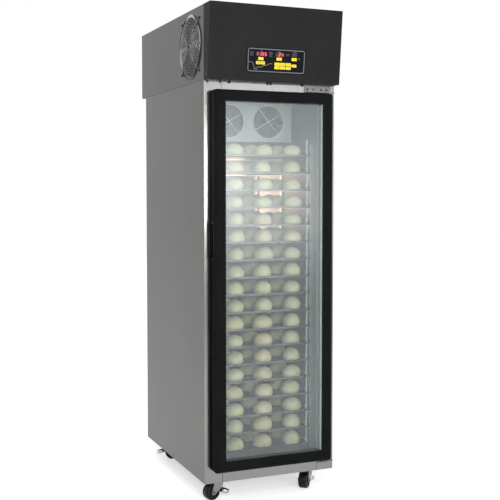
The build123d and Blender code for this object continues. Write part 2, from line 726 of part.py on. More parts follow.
# Other panels of the machine compartment: right side, floor, roof and louvred back
with BuildPart() as top_housing:
    panel_low = SEAM + SEAM_LINE
    panel_high = TOP - SHEET - SEAM_GAP
    block(RIGHT - SHEET, RIGHT, FRONT, REAR, panel_low, panel_high)
    block(LEFT, RIGHT, FRONT, REAR, TOP - SHEET, TOP)
    plate_left = LEFT + SHEET + SEAM_GAP
    plate_right = RIGHT - SHEET - SEAM_GAP
    block(plate_left, plate_right, FRONT, REAR - SHEET - SEAM_GAP, SEAM, SEAM + SHEET)
    block(plate_left, plate_right, REAR - SHEET, REAR, panel_low, panel_high)
    with BuildSketch(front_plane(REAR - SHEET - 1)):
        with Locations((MIDDLE, FAN_Z)):
            with GridLocations(2 * LOUVRE_X, LOUVRE_PITCH, 2, LOUVRE_ROWS):
                SlotOverall(LOUVRE_W, LOUVRE_H)
    extrude(amount=-(SHEET + 2), mode=Mode.SUBTRACT)
    with BuildSketch(Plane.XY.offset(SEAM - 1)):
        with Locations((RIGHT - GLAND_X, BACK + GLAND_Y)):
            Circle(GLAND_THREAD_R + HOLE_CLEARANCE)
    extrude(amount=SHEET + 2, mode=Mode.SUBTRACT)
top_housing.part.label = "top_housing"
export_step(top_housing.part, "parts/top_housing.step")

# Wire guard over the condenser fan: a grille of rings and a cross, and behind it a
# rim with four feet
with BuildPart() as condenser_fan_guard:
    with BuildSketch(side_plane(LEFT - GUARD_STAND)):
        with Locations((FAN_Y, FAN_Z)):
            for ring in range(GUARD_RINGS):
                outer = GUARD_R - GUARD_PITCH * ring
                Circle(outer)
                Circle(outer - WIRE, mode=Mode.SUBTRACT)
            with Locations(Location((0, 0), 45)):
                Rectangle(2 * GUARD_R - WIRE, WIRE)
                Rectangle(WIRE, 2 * GUARD_R - WIRE)
            Circle(GUARD_HUB_R)
    extrude(amount=WIRE)
    with BuildSketch(side_plane(LEFT - GUARD_STAND + WIRE + RUNNING_GAP)):
        with Locations((FAN_Y, FAN_Z)):
            Circle(GUARD_R)
            Circle(GUARD_R - GUARD_RIM_T, mode=Mode.SUBTRACT)
    extrude(amount=GUARD_STAND - WIRE - RUNNING_GAP)
    with BuildSketch(side_plane(LEFT - GUARD_FOOT_T)):
        for angle, foot in zip((45, 135, 225, 315), GUARD_FEET):
            with Locations(Location(foot, angle)):
                SlotOverall(GUARD_FOOT_L, GUARD_FOOT_W)
        with Locations((FAN_Y, FAN_Z)):
            Circle(GUARD_R - GUARD_RIM_T, mode=Mode.SUBTRACT)
        with Locations(*GUARD_FEET):
            Circle(SCREW_R + HOLE_CLEARANCE, mode=Mode.SUBTRACT)
    extrude(amount=GUARD_FOOT_T)
condenser_fan_guard.part.label = "condenser_fan_guard"
export_step(condenser_fan_guard.part, "parts/condenser_fan_guard.step")

# Condenser coil beside its fan, standing on the compartment floor
with BuildPart() as condenser_coil:
    coil_x = LEFT + CONDENSER_X
    coil_y = FRONT + CONDENSER_Y
    coil_z = SEAM + SHEET
    finned_coil(
        coil_x,
        coil_x + CONDENSER_T,
        coil_y,
        coil_y + CONDENSER_D,
        coil_z,
        coil_z + CONDENSER_H,
        "y",
    )
condenser_coil.part.label = "condenser_coil"
export_step(condenser_coil.part, "parts/condenser_coil.step")

# Compressor: a domed can on its base plate
with BuildPart() as compressor:
    low = (Align.CENTER, Align.CENTER, Align.MIN)
    with Locations((LEFT + COMPRESSOR_X, FRONT + COMPRESSOR_Y, SEAM + SHEET)):
        Cylinder(COMPRESSOR_R, COMPRESSOR_H, align=low)
    fillet(compressor.edges().sort_by(Axis.Z)[-1], radius=COMPRESSOR_R / 3)
    with Locations((LEFT + COMPRESSOR_X, FRONT + COMPRESSOR_Y, SEAM + SHEET)):
        Box(COMPRESSOR_BASE, COMPRESSOR_BASE, COMPRESSOR_BASE_T, align=low)
compressor.part.label = "compressor"
export_step(compressor.part, "parts/compressor.step")

# Fascia: a folded sheet box that is open to the compartment behind it
with BuildPart() as control_fascia:
    with BuildSketch(side_plane(LEFT)):
        with BuildLine():
            Polyline(
                (FRONT, SEAM),
                (FRONT - FASCIA_BOTTOM, SEAM),
                (FRONT - FASCIA_TOP, TOP),
                (FRONT, TOP),
                close=True,
            )
        make_face()
    extrude(amount=CABINET_W)
    face_edges = control_fascia.faces().sort_by(Axis.Y)[0].edges()
    fillet(face_edges.filter_by(Axis.X, reverse=True), radius=CORNER_R)
    slant_t = SHEET / cos(radians(FASCIA_TILT))
    lean = SHEET * tan(radians(FASCIA_TILT))
    with BuildSketch(side_plane(LEFT + SHEET)):
        with BuildLine():
            Polyline(
                (FRONT + 1, SEAM + SHEET),
                (FRONT - FASCIA_BOTTOM - lean + slant_t, SEAM + SHEET),
                (FRONT - FASCIA_TOP + lean + slant_t, TOP - SHEET),
                (FRONT + 1, TOP - SHEET),
                close=True,
            )
        make_face()
    extrude(amount=CABINET_W - 2 * SHEET, mode=Mode.SUBTRACT)
    with BuildSketch(FACE.offset(1)):
        with Locations((0, DISPLAY_V)):
            Rectangle(DISPLAY_W - 2 * WINDOW_MARGIN, DISPLAY_H - 2 * WINDOW_MARGIN)
    extrude(amount=-(SHEET + 2), mode=Mode.SUBTRACT)
    with BuildSketch(side_plane(LEFT - 1)):
        with Locations(*[(FRONT + y, SEAM + z) for y, z in FASCIA_SCREW_SPOTS]):
            Circle(SCREW_HEAD_R + HOLE_CLEARANCE)
    extrude(amount=CABINET_W + 2, mode=Mode.SUBTRACT)
control_fascia.part.label = "control_fascia"
export_step(control_fascia.part, "parts/control_fascia.step")

# Display panel on the face of the fascia, with holes for the keys and digit windows
with BuildPart() as display_panel:
    with BuildSketch(FACE):
        with Locations((0, DISPLAY_V)):
            RectangleRounded(DISPLAY_W, DISPLAY_H, DISPLAY_R)
        for across, down, width, height in KEYS:
            with Locations(on_display(across, down)):
                RectangleRounded(width, height, KEY_R, mode=Mode.SUBTRACT)
        for across, down, width, height in DIGIT_WINDOWS:
            with Locations(on_display(across, down)):
                Rectangle(width, height, mode=Mode.SUBTRACT)
    extrude(amount=DISPLAY_T)
display_panel.part.label = "display_panel"
export_step(display_panel.part, "parts/display_panel.step")

# Digit displays, which stand on the board and look through the panel
with BuildPart() as digit_displays:
    with BuildSketch(FACE.offset(-BOARD_SETBACK)):
        for across, down, width, height in DIGIT_WINDOWS:
            with Locations(on_display(across, down)):
                Rectangle(width - 2 * KEY_GAP, height - 2 * KEY_GAP)
    extrude(amount=BOARD_SETBACK + DISPLAY_T - KEY_GAP)
digit_displays.part.label = "digit_displays"
export_step(digit_displays.part, "parts/digit_displays.step")

# Control board behind the display, on four posts that stand on the fascia
with BuildPart() as control_board:
    post_u = DISPLAY_W / 2 - WINDOW_MARGIN / 2
    post_v = DISPLAY_H / 2 - WINDOW_MARGIN / 2
    with BuildSketch(FACE.offset(-BOARD_SETBACK)):
        with Locations((0, DISPLAY_V)):
            Rectangle(DISPLAY_W, DISPLAY_H)
    extrude(amount=-BOARD_T)
    with BuildSketch(FACE.offset(-BOARD_SETBACK)):
        with Locations((0, DISPLAY_V)):
            with GridLocations(2 * post_u, 2 * post_v, 2, 2):
                Circle(WINDOW_MARGIN / 2 - KEY_GAP)
    extrude(amount=BOARD_SETBACK - SHEET)
control_board.part.label = "control_board"
export_step(control_board.part, "parts/control_board.step")

# Keys that travel into the display panel
for number, (across, down, width, height) in enumerate(KEYS, start=1):
    with BuildPart() as key:
        with BuildSketch(FACE.offset(-KEY_BACK)):
            with Locations(on_display(across, down)):
                RectangleRounded(width - 2 * KEY_GAP, height - 2 * KEY_GAP, KEY_R - KEY_GAP)
        extrude(amount=KEY_BACK + DISPLAY_T + KEY_PROUD)
        fillet(key.faces().sort_by(Axis.Y)[0].edges(), radius=KEY_PROUD / 2)
    key.part.label = f"key_{number:02d}"
    export_step(key.part, f"parts/key_{number:02d}.step")

# Door frame: a bevelled ring with a lip in front of the glass
with BuildPart() as door_frame:
    block(DOOR_LEFT, DOOR_RIGHT, DOOR_FRONT, DOOR_BACK, DOOR_LOW, DOOR_HIGH)
    fillet(door_frame.edges().filter_by(Axis.Y), radius=DOOR_CORNER_R)
    chamfer(door_frame.faces().sort_by(Axis.Y)[0].edges(), length=DOOR_BEVEL)
    glass_left = DOOR_LEFT + DOOR_FACE_W
    glass_right = DOOR_RIGHT - DOOR_FACE_W
    glass_low = DOOR_LOW + DOOR_FACE_W
    glass_high = DOOR_HIGH - DOOR_FACE_W
    through_y = (DOOR_FRONT - 1, DOOR_BACK + 1)
    block(glass_left, glass_right, *through_y, glass_low, glass_high, mode=Mode.SUBTRACT)
    rebate_x = (glass_left - GLASS_LAP, glass_right + GLASS_LAP)
    rebate_z = (glass_low - GLASS_LAP, glass_high + GLASS_LAP)
    block(*rebate_x, DOOR_FRONT + GLASS_LIP, DOOR_BACK + 1, *rebate_z, mode=Mode.SUBTRACT)
    cup_y = (DOOR_FRONT + DOOR_BACK) / 2 + DOOR_BEVEL / 2
    cup_w = HANDLE_W - HANDLE_RIM + 2 * HANDLE_CLEARANCE
    cup_l = HANDLE_L - HANDLE_RIM + 2 * HANDLE_CLEARANCE
    with Locations((DOOR_LEFT, cup_y, BASE + HANDLE_Z)):
        Box(2 * (HANDLE_DEPTH + HANDLE_CLEARANCE), cup_w, cup_l, mode=Mode.SUBTRACT)
    for z in (DOOR_LOW, DOOR_HIGH):
        with Locations((PIVOT_X, PIVOT_Y, z)):
            Cylinder(PIN_R + PIN_CLEARANCE, 2 * (PIN_L + 1), mode=Mode.SUBTRACT)
door_frame.part.label = "door_frame"
export_step(door_frame.part, "parts/door_frame.step")

# Two panes, seated behind the lip of the frame
PANE_FRONT = DOOR_FRONT + GLASS_LIP
with BuildPart() as door_glass:
    pane_x = (rebate_x[0] + PANE_CLEARANCE, rebate_x[1] - PANE_CLEARANCE)
    pane_z = (rebate_z[0] + PANE_CLEARANCE, rebate_z[1] - PANE_CLEARANCE)
    second = PANE_FRONT + PANE_T + PANE_GAP
    block(*pane_x, PANE_FRONT, PANE_FRONT + PANE_T, *pane_z)
    block(*pane_x, second, second + PANE_T, *pane_z)
door_glass.part.label = "door_glass"
export_step(door_glass.part, "parts/door_glass.step")

# Spacer between the panes and the bead behind them
with BuildPart() as glazing_beads:
    bead_x = (pane_x[0] + BEAD_W, pane_x[1] - BEAD_W)
    bead_z = (pane_z[0] + BEAD_W, pane_z[1] - BEAD_W)
    for y0, y1 in ((PANE_FRONT + PANE_T, second), (second + PANE_T, DOOR_BACK)):
        block(*pane_x, y0, y1, *pane_z)
        block(*bead_x, y0, y1, *bead_z, mode=Mode.SUBTRACT)
glazing_beads.part.label = "glazing_beads"
export_step(glazing_beads.part, "parts/glazing_beads.step")

# Soft seal between the back of the door and the front frame
with BuildPart() as door_gasket:
    seal_x = (DOOR_LEFT + GASKET_INSET, DOOR_RIGHT - GASKET_INSET)
    seal_z = (DOOR_LOW + GASKET_INSET, DOOR_HIGH - GASKET_INSET)
    seal_y = (DOOR_BACK, FRONT - GASKET_CLEARANCE)
    block(*seal_x, *seal_y, *seal_z)
    hole_x = (seal_x[0] + GASKET_W, seal_x[1] - GASKET_W)
    hole_z = (seal_z[0] + GASKET_W, seal_z[1] - GASKET_W)
    block(*hole_x, *seal_y, *hole_z, mode=Mode.SUBTRACT)
door_gasket.part.label = "door_gasket"
export_step(door_gasket.part, "parts/door_gasket.step")

# Recessed pull: a rim that stands proud of the door's edge, round a cup for the fingers
with BuildPart() as door_handle:
    with Locations((DOOR_LEFT - HANDLE_PROUD / 2, cup_y, BASE + HANDLE_Z)):
        Box(HANDLE_PROUD, HANDLE_W, HANDLE_L)
    fillet(door_handle.faces().sort_by(Axis.X)[0].edges(), radius=HANDLE_PROUD / 2)
    with Locations((DOOR_LEFT + HANDLE_DEPTH / 2, cup_y, BASE + HANDLE_Z)):
        Box(HANDLE_DEPTH, HANDLE_W - HANDLE_RIM, HANDLE_L - HANDLE_RIM)
    pocket_depth = HANDLE_DEPTH - HANDLE_WALL + HANDLE_PROUD + 1
    pocket_w = HANDLE_W - HANDLE_RIM - 2 * HANDLE_WALL
    pocket_l = HANDLE_L - HANDLE_RIM - 2 * HANDLE_WALL
    pocket_x = DOOR_LEFT + HANDLE_DEPTH - HANDLE_WALL - pocket_depth / 2
    with Locations((pocket_x, cup_y, BASE + HANDLE_Z)):
        Box(pocket_depth, pocket_w, pocket_l, mode=Mode.SUBTRACT)
door_handle.part.label = "door_handle"
export_step(door_handle.part, "parts/door_handle.step")


def hinge_bracket(x0, arm_face, leg, outward):
    """Angle bracket with its pin; outward is 1 above the door and -1 below it."""
    arm = sorted((arm_face, arm_face + outward * HINGE_T))
    upright = sorted((arm_face, arm_face + outward * leg))
    block(x0, RIGHT - HINGE_END, FRONT - HINGE_REACH, FRONT, *arm)
    block(x0, RIGHT - HINGE_END, FRONT - HINGE_T, FRONT, *upright)
    washer = HINGE_GAP - RUNNING_GAP
    with Locations((PIVOT_X, PIVOT_Y, arm_face - outward * washer / 2)):
        Cylinder(WASHER_R, washer)
    reach = HINGE_GAP + PIN_L
    with Locations((PIVOT_X, PIVOT_Y, arm_face - outward * reach / 2)):
        Cylinder(PIN_R, reach)


# Hinge brackets on the right, above and below the door
with BuildPart() as hinge_brackets:
    hinge_bracket(TOP_HINGE_X, TOP_ARM_Z, HINGE_LEG, 1)
    hinge_bracket(LOWER_HINGE_X, LOWER_ARM_Z, LOWER_HINGE_LEG, -1)
    hinge_screw_holes()
hinge_brackets.part.label = "hinge_brackets"
export_step(hinge_brackets.part, "parts/hinge_brackets.step")

# Dark screws of the fan guard, the fascia and the hinge brackets
with BuildPart() as dark_screws:
    with BuildSketch(side_plane(LEFT - GUARD_FOOT_T)):
        with Locations(*GUARD_FEET):
            Circle(SCREW_HEAD_R)
    extrude(amount=-SCREW_HEAD_T)
    with BuildSketch(side_plane(LEFT - GUARD_FOOT_T)):
        with Locations(*GUARD_FEET):
            Circle(SCREW_R)
    extrude(amount=SCREW_L)
    with BuildSketch(front_plane(FRONT - HINGE_T)):
        with Locations(*HINGE_SCREWS):
            Circle(SCREW_HEAD_R)
    extrude(amount=SCREW_HEAD_T)
    with BuildSketch(front_plane(FRONT - HINGE_T)):
        with Locations(*HINGE_SCREWS):
            Circle(SCREW_R)
    extrude(amount=-(HINGE_T + SCREW_L))
    for x, inward in ((LEFT, 1), (RIGHT, -1)):
        for y, z in FASCIA_SCREW_SPOTS:
            with Locations((x + inward * SHEET / 2, FRONT + y, SEAM + z)):
                Cylinder(SCREW_HEAD_R, SHEET, rotation=(0, 90, 0))
            with Locations((x + inward * SCREW_L / 2, FRONT + y, SEAM + z)):
                Cylinder(SCREW_R, SCREW_L, rotation=(0, 90, 0))
dark_screws.part.label = "dark_screws"
export_step(dark_screws.part, "parts/dark_screws.step")

# Gland for the mains lead, under the overhang of the machine compartment
with BuildPart() as cable_gland:
    gland = (RIGHT - GLAND_X, BACK + GLAND_Y)
    with BuildSketch(Plane.XY.offset(SEAM)):
        with Locations(gland):
            RegularPolygon(GLAND_R, 6)
    extrude(amount=-GLAND_DROP)
    with BuildSketch(Plane.XY.offset(SEAM)):
        with Locations(gland):
            Circle(GLAND_THREAD_R)
    extrude(amount=SHEET + GLAND_NUT_T)
    with BuildSketch(Plane.XY.offset(SEAM + SHEET)):
        with Locations(gland):
            RegularPolygon(GLAND_R, 6)
    extrude(amount=GLAND_NUT_T)
    with BuildSketch(Plane.XY.offset(SEAM - GLAND_DROP)):
        with Locations(gland):
            Circle(GLAND_BORE_R)
    extrude(amount=GLAND_DROP + SHEET + GLAND_NUT_T, mode=Mode.SUBTRACT)
cable_gland.part.label = "cable_gland"
export_step(cable_gland.part, "parts/cable_gland.step")

# Drain spigot through the rear wall, just above the chamber floor
with BuildPart() as drain_spigot:
    drain = (MIDDLE + DRAIN_X, IN_FLOOR + DRAIN_UP)
    with BuildSketch(front_plane(IN_BACK)):
        with Locations(drain):
            Circle(DRAIN_R)
    extrude(amount=-(WALL_T + DRAIN_OUT))
    with BuildSketch(front_plane(BACK)):
        with Locations(drain):
            Circle(DRAIN_FLANGE_R)
    extrude(amount=-DRAIN_FLANGE_T)
    with BuildSketch(front_plane(IN_BACK)):
        with Locations(drain):
            Circle(DRAIN_BORE_R)
    extrude(amount=-(WALL_T + DRAIN_OUT), mode=Mode.SUBTRACT)
drain_spigot.part.label = "drain_spigot"
export_step(drain_spigot.part, "parts/drain_spigot.step")

# Heights below the base that the swivel parts share
RACEWAY_LOW = -PLATE_T - RACEWAY_T
BRIDGE_HIGH = RACEWAY_LOW - RUNNING_GAP
BRIDGE_LOW = BRIDGE_HIGH - BRIDGE_T
KINGPIN_HEAD_HIGH = BRIDGE_LOW - RUNNING_GAP
AXLE_DROP = WHEEL_R - CASTER_H
FORK_IN = WHEEL_W + 2 * WHEEL_GAP
FORK_OUT = FORK_IN + 2 * FORK_T

# Mounting plates, each with its raceway, kingpin and rivet head, and their bolts
with BuildPart() as caster_plates:
    low = (Align.CENTER, Align.CENTER, Align.MAX)
    for _, x, y, _ in CASTERS:
        with Locations((x, y, BASE)):
            Box(PLATE_L, PLATE_W, PLATE_T, align=low)
            Cylinder(RACEWAY_R, -RACEWAY_LOW, align=low)
            Cylinder(KINGPIN_R, KINGPIN_HEAD_T - KINGPIN_HEAD_HIGH, align=low)
        with Locations((x, y, BASE + KINGPIN_HEAD_HIGH)):
            Cylinder(KINGPIN_HEAD_R, KINGPIN_HEAD_T, align=low)
    caster_bolt_holes()
    with BuildSketch(Plane.XY.offset(BASE - PLATE_T)):
        with Locations(*BOLT_SPOTS):
            RegularPolygon(BOLT_HEAD_R, 6)
    extrude(amount=-BOLT_HEAD_T)
    with BuildSketch(Plane.XY.offset(BASE - PLATE_T)):
        with Locations(*BOLT_SPOTS):
            Circle(BOLT_R)
    extrude(amount=BOLT_L)
caster_plates.part.label = "caster_plates"
export_step(caster_plates.part, "parts/caster_plates.step")


def caster_side(x, y, angle):
    """Upright plane through the kingpin: X towards the pedal, Y up from the base."""
    a = radians(angle)
    return Plane(origin=(x, y, BASE), x_dir=(cos(a), sin(a), 0), z_dir=(sin(a), -cos(a), 0))


for name, x, y, angle in CASTERS:
    side = caster_side(x, y, angle)
    axle = (-TRAIL, AXLE_DROP)
    pivot = (PEDAL_PIVOT_X, -PEDAL_PIVOT_DROP)

    # Fork: a bridge under the raceway and two legs, with the riveted axle
    with BuildPart() as fork:
        with BuildSketch(side.offset(-FORK_OUT / 2)):
            with Locations(axle):
                Circle(AXLE_BOSS_R)
            with Locations((0, (BRIDGE_HIGH + BRIDGE_LOW) / 2 - BRIDGE_T / 2)):
                Rectangle(BRIDGE_L, 2 * BRIDGE_T)
            with Locations(pivot):
                Circle(PEDAL_BOSS_R)
            make_hull()
        extrude(amount=FORK_OUT)
        with BuildSketch(side.offset(-FORK_IN / 2)):
            with Locations((0, BRIDGE_LOW - CASTER_H / 2)):
                Rectangle(4 * WHEEL_R, CASTER_H)
        extrude(amount=FORK_IN, mode=Mode.SUBTRACT)
        with BuildSketch(side.offset(-FORK_OUT / 2)):
            with Locations(axle):
                Circle(AXLE_R)
        extrude(amount=FORK_OUT)
        for face, outward in ((FORK_OUT / 2, 1), (-FORK_OUT / 2, -1)):
            with BuildSketch(side.offset(face)):
                with Locations(axle):
                    RegularPolygon(AXLE_HEAD_R, 6)
            extrude(amount=outward * AXLE_HEAD_T)
        with BuildSketch(side.offset(-FORK_OUT / 2)):
            with Locations(pivot):
                Circle(PEDAL_PIN_R + AXLE_CLEARANCE)
        extrude(amount=FORK_OUT, mode=Mode.SUBTRACT)
        with Locations((x, y, BASE + BRIDGE_LOW)):
            Cylinder(KINGPIN_R + AXLE_CLEARANCE, 4 * BRIDGE_T, mode=Mode.SUBTRACT)
    fork.part.label = f"caster_fork_{name}"
    export_step(fork.part, f"parts/caster_fork_{name}.step")

    # Wheel: crowned tread, dished sides and a hub with the axle bore
    with BuildPart() as wheel:
        with BuildSketch(side.offset(-WHEEL_W / 2)):
            with Locations(axle):
                Circle(WHEEL_R)
        extrude(amount=WHEEL_W)
        fillet(wheel.edges().filter_by(GeomType.CIRCLE), radius=WHEEL_EDGE_R)
        for face, inward in ((WHEEL_W / 2, -1), (-WHEEL_W / 2, 1)):
            with BuildSketch(side.offset(face)):
                with Locations(axle):
                    Circle(WHEEL_DISH_R)
                    Circle(WHEEL_HUB_R, mode=Mode.SUBTRACT)
            extrude(amount=inward * WHEEL_DISH_DEPTH, mode=Mode.SUBTRACT)
        with BuildSketch(side.offset(-WHEEL_W / 2)):
            with Locations(axle):
                Circle(AXLE_R + AXLE_CLEARANCE)
        extrude(amount=WHEEL_W, mode=Mode.SUBTRACT)
    wheel.part.label = f"caster_wheel_{name}"
    export_step(wheel.part, f"parts/caster_wheel_{name}.step")

    # Brake pedal: an oval dish on an arm that turns on a pin through the fork
    with BuildPart() as pedal:
        flat = Plane(origin=(x, y, BASE - PEDAL_DROP), x_dir=side.x_dir, z_dir=(0, 0, 1))
        with BuildSketch(flat):
            with Locations((PEDAL_X, 0)):
                Ellipse(PEDAL_LONG, PEDAL_WIDE)
        extrude(amount=-PEDAL_SKIRT)
        with BuildSketch(flat.offset(-PEDAL_SKIRT)):
            with Locations((PEDAL_X, 0)):
                Ellipse(PEDAL_LONG - PEDAL_WALL, PEDAL_WIDE - PEDAL_WALL)
        extrude(amount=PEDAL_SKIRT - PEDAL_WALL, mode=Mode.SUBTRACT)
        with BuildSketch(side.offset(-PEDAL_ARM_W / 2)):
            with Locations(pivot):
                Circle(PEDAL_PIN_R + PEDAL_WALL)
            with Locations((PEDAL_X - PEDAL_LONG / 2, -PEDAL_DROP - PEDAL_WALL / 2)):
                Circle(PEDAL_WALL / 2)
            make_hull()
        extrude(amount=PEDAL_ARM_W)
        with BuildSketch(side.offset(-FORK_OUT / 2 - PEDAL_WALL)):
            with Locations(pivot):
                Circle(PEDAL_PIN_R)
        extrude(amount=FORK_OUT + 2 * PEDAL_WALL)
    pedal.part.label = f"caster_pedal_{name}"
    export_step(pedal.part, f"parts/caster_pedal_{name}.step")
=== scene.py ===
import math
import random

import bmesh
import bpy
from mathutils import Euler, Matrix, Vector


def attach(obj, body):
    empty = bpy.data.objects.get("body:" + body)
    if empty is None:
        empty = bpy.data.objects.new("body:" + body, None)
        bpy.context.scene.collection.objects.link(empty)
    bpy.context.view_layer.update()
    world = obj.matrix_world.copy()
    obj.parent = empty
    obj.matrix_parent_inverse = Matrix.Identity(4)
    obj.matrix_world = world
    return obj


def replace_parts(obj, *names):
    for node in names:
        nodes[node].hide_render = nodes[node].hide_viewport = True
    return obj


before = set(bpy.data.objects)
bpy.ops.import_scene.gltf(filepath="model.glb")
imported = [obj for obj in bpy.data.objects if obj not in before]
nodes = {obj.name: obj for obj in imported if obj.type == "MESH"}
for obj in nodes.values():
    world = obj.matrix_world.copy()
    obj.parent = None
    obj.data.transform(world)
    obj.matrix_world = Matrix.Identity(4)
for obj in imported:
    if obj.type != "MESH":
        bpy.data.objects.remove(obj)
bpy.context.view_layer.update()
random.seed(7)

# Main planes of the cabinet in metres, as the CAD part has them
MIDDLE, LEFT, FRONT = 0.006, -0.304, -0.421
BASE, SEAM = 0.088, 1.821

# Tray stack: its front left corner, lowest tray, pitch and levels
TRAY_LEFT, TRAY_FRONT = -0.2225, -0.321
TRAY_Z, TRAY_PITCH, TRAY_COUNT = 0.181, 0.078, 18
TRAY_LEVELS = [TRAY_Z + TRAY_PITCH * level for level in range(TRAY_COUNT)]

# Centres of the condenser fan on the left side and of the evaporator fans
FAN_Y, FAN_Z = -0.253, 1.980
EVAP_FAN_XS, EVAP_FAN_Z, EVAP_FRONT_Y = (-0.093, 0.105), 1.671, -0.171

# Door: its outside, and the opening that its frame leaves for the glass
DOOR_LOW, DOOR_HIGH = 0.143, 1.781
OPEN_LEFT, OPEN_RIGHT, OPEN_LOW, OPEN_HIGH = -0.228, 0.240, 0.189, 1.735

# Face of the fascia: its lean, lower middle point, direction up and outward normal
FASCIA_LEAN, FASCIA_H, FASCIA_FOOT = 0.031, 0.318, 0.049
TILT = math.atan2(FASCIA_LEAN, FASCIA_H)
FACE_ORIGIN = Vector((MIDDLE, FRONT - FASCIA_FOOT, SEAM))
FACE_UP = Vector((0, -math.sin(TILT), math.cos(TILT)))
FACE_OUT = Vector((0, -math.cos(TILT), -math.sin(TILT)))

# Display on that face: width, height, lower edge above the seam, and in mm how far
# the panel, the lit digits and the keys stand out
DISPLAY_W, DISPLAY_H, DISPLAY_V = 0.276, 0.106, 0.0885
PANEL_OUT, DIGITS_OUT, KEYS_OUT = 2.0, 1.75, 3.4


# Materials
class Shader:
    """A material under construction, with short ways to add nodes and links."""

    def __init__(self, name):
        self.mat = bpy.data.materials.new(name)
        self.mat.use_nodes = True
        self.tree = self.mat.node_tree
        self.bsdf = self.tree.nodes["Principled BSDF"]
        self.out = self.tree.nodes["Material Output"]
        self.coord = None

    def add(self, kind, **settings):
        node = self.tree.nodes.new(kind)
        for key, value in settings.items():
            setattr(node, key, value)
        return node

    def link(self, a, b):
        self.tree.links.new(a, b)

    def place(self, scale):
        """Object coordinates stretched by scale."""
        if self.coord is None:
            self.coord = self.add("ShaderNodeTexCoord")
        mapping = self.add("ShaderNodeMapping")
        mapping.inputs["Scale"].default_value = scale
        self.link(self.coord.outputs["Object"], mapping.inputs["Vector"])
        return mapping.outputs["Vector"]

    def noise(self, scale, detail=4.0, rough=0.55):
        node = self.add("ShaderNodeTexNoise")
        node.inputs["Scale"].default_value = 1.0
        node.inputs["Detail"].default_value = detail
        node.inputs["Roughness"].default_value = rough
        self.link(self.place(scale), node.inputs["Vector"])
        return node.outputs["Fac"]

    def spread(self, value, low, high):
        """Maps a noise value to the range from low to high."""
        node = self.add("ShaderNodeMapRange")
        node.inputs["From Min"].default_value = 0.3
        node.inputs["From Max"].default_value = 0.7
        node.inputs["To Min"].default_value = low
        node.inputs["To Max"].default_value = high
        self.link(value, node.inputs["Value"])
        return node.outputs["Result"]

    def ramp(self, value, *runner_glints):
        """A colour ramp of (place, colour) stops."""
        node = self.add("ShaderNodeValToRGB")
        elements = node.color_ramp.elements
        for element, (place, colour) in zip(elements, runner_glints):
            element.position = place
            element.color = (*colour, 1)
        self.link(value, node.inputs["Fac"])
        return node.outputs["Color"]

    def bump(self, height, strength, distance):
        node = self.add("ShaderNodeBump")
        node.inputs["Strength"].default_value = strength
        node.inputs["Distance"].default_value = distance
        self.link(height, node.inputs["Height"])
        self.link(node.outputs["Normal"], self.bsdf.inputs["Normal"])

    def blend(self, amount, first, second):
        """A mix of two shaders, with more of the second as amount grows."""
        node = self.add("ShaderNodeMixShader")
        self.link(amount, node.inputs[0])
        self.link(first.outputs[0], node.inputs[1])
        self.link(second.outputs[0], node.inputs[2])
        return node


def shade(colour, factor):
    return tuple(min(1.0, c * factor) for c in colour)


def metal(name, colour, rough=0.34, brush=(350, 350, 4), vary=0.10, metallic=1.0):
    """Brushed or plated metal with fine streaks along the brushing."""
    s = Shader(name)
    streaks = s.noise(brush, 6.0, 0.7)
    cloud = s.noise((3, 3, 2), 2.0)
    mix = s.add("ShaderNodeMath", operation="ADD")
    s.link(streaks, mix.inputs[0])
    s.link(s.spread(cloud, -0.08, 0.08), mix.inputs[1])
    low, high = shade(colour, 1 - vary), shade(colour, 1 + vary)
    s.link(s.ramp(mix.outputs[0], (0.30, low), (0.70, high)), s.bsdf.inputs["Base Color"])
    s.link(s.spread(streaks, rough - 0.05, rough + 0.06), s.bsdf.inputs["Roughness"])
    s.bsdf.inputs["Metallic"].default_value = metallic
    s.bump(streaks, 0.12, 0.0004)
    return s.mat


def plastic(name, colour, rough=0.45, grain=900, vary=0.10, bump=0.10, gloss=0.5, ior=1.5):
    """Moulded plastic or paint with a fine grain and faint unevenness."""
    s = Shader(name)
    fine = s.noise((grain, grain, grain), 3.0)
    cloud = s.noise((9, 9, 9), 3.0)
    low, high = shade(colour, 1 - vary), shade(colour, 1 + vary)
    s.link(s.ramp(cloud, (0.35, low), (0.65, high)), s.bsdf.inputs["Base Color"])
    s.link(s.spread(fine, rough - 0.05, rough + 0.07), s.bsdf.inputs["Roughness"])
    s.bsdf.inputs["Specular IOR Level"].default_value = gloss
    s.bsdf.inputs["IOR"].default_value = ior
    s.bump(fine, bump, 0.0003)
    return s.mat


def glow(name, colour, strength):
    """A lit surface with a fine grain."""
    s = Shader(name)
    fine = s.noise((700, 700, 700), 2.0)
    grain = s.ramp(fine, (0.3, shade(colour, 0.88)), (0.7, colour))
    s.link(grain, s.bsdf.inputs["Emission Color"])
    s.bsdf.inputs["Base Color"].default_value = (*shade(colour, 0.6), 1)
    s.bsdf.inputs["Emission Strength"].default_value = strength
    s.bsdf.inputs["Roughness"].default_value = 0.4
    return s.mat


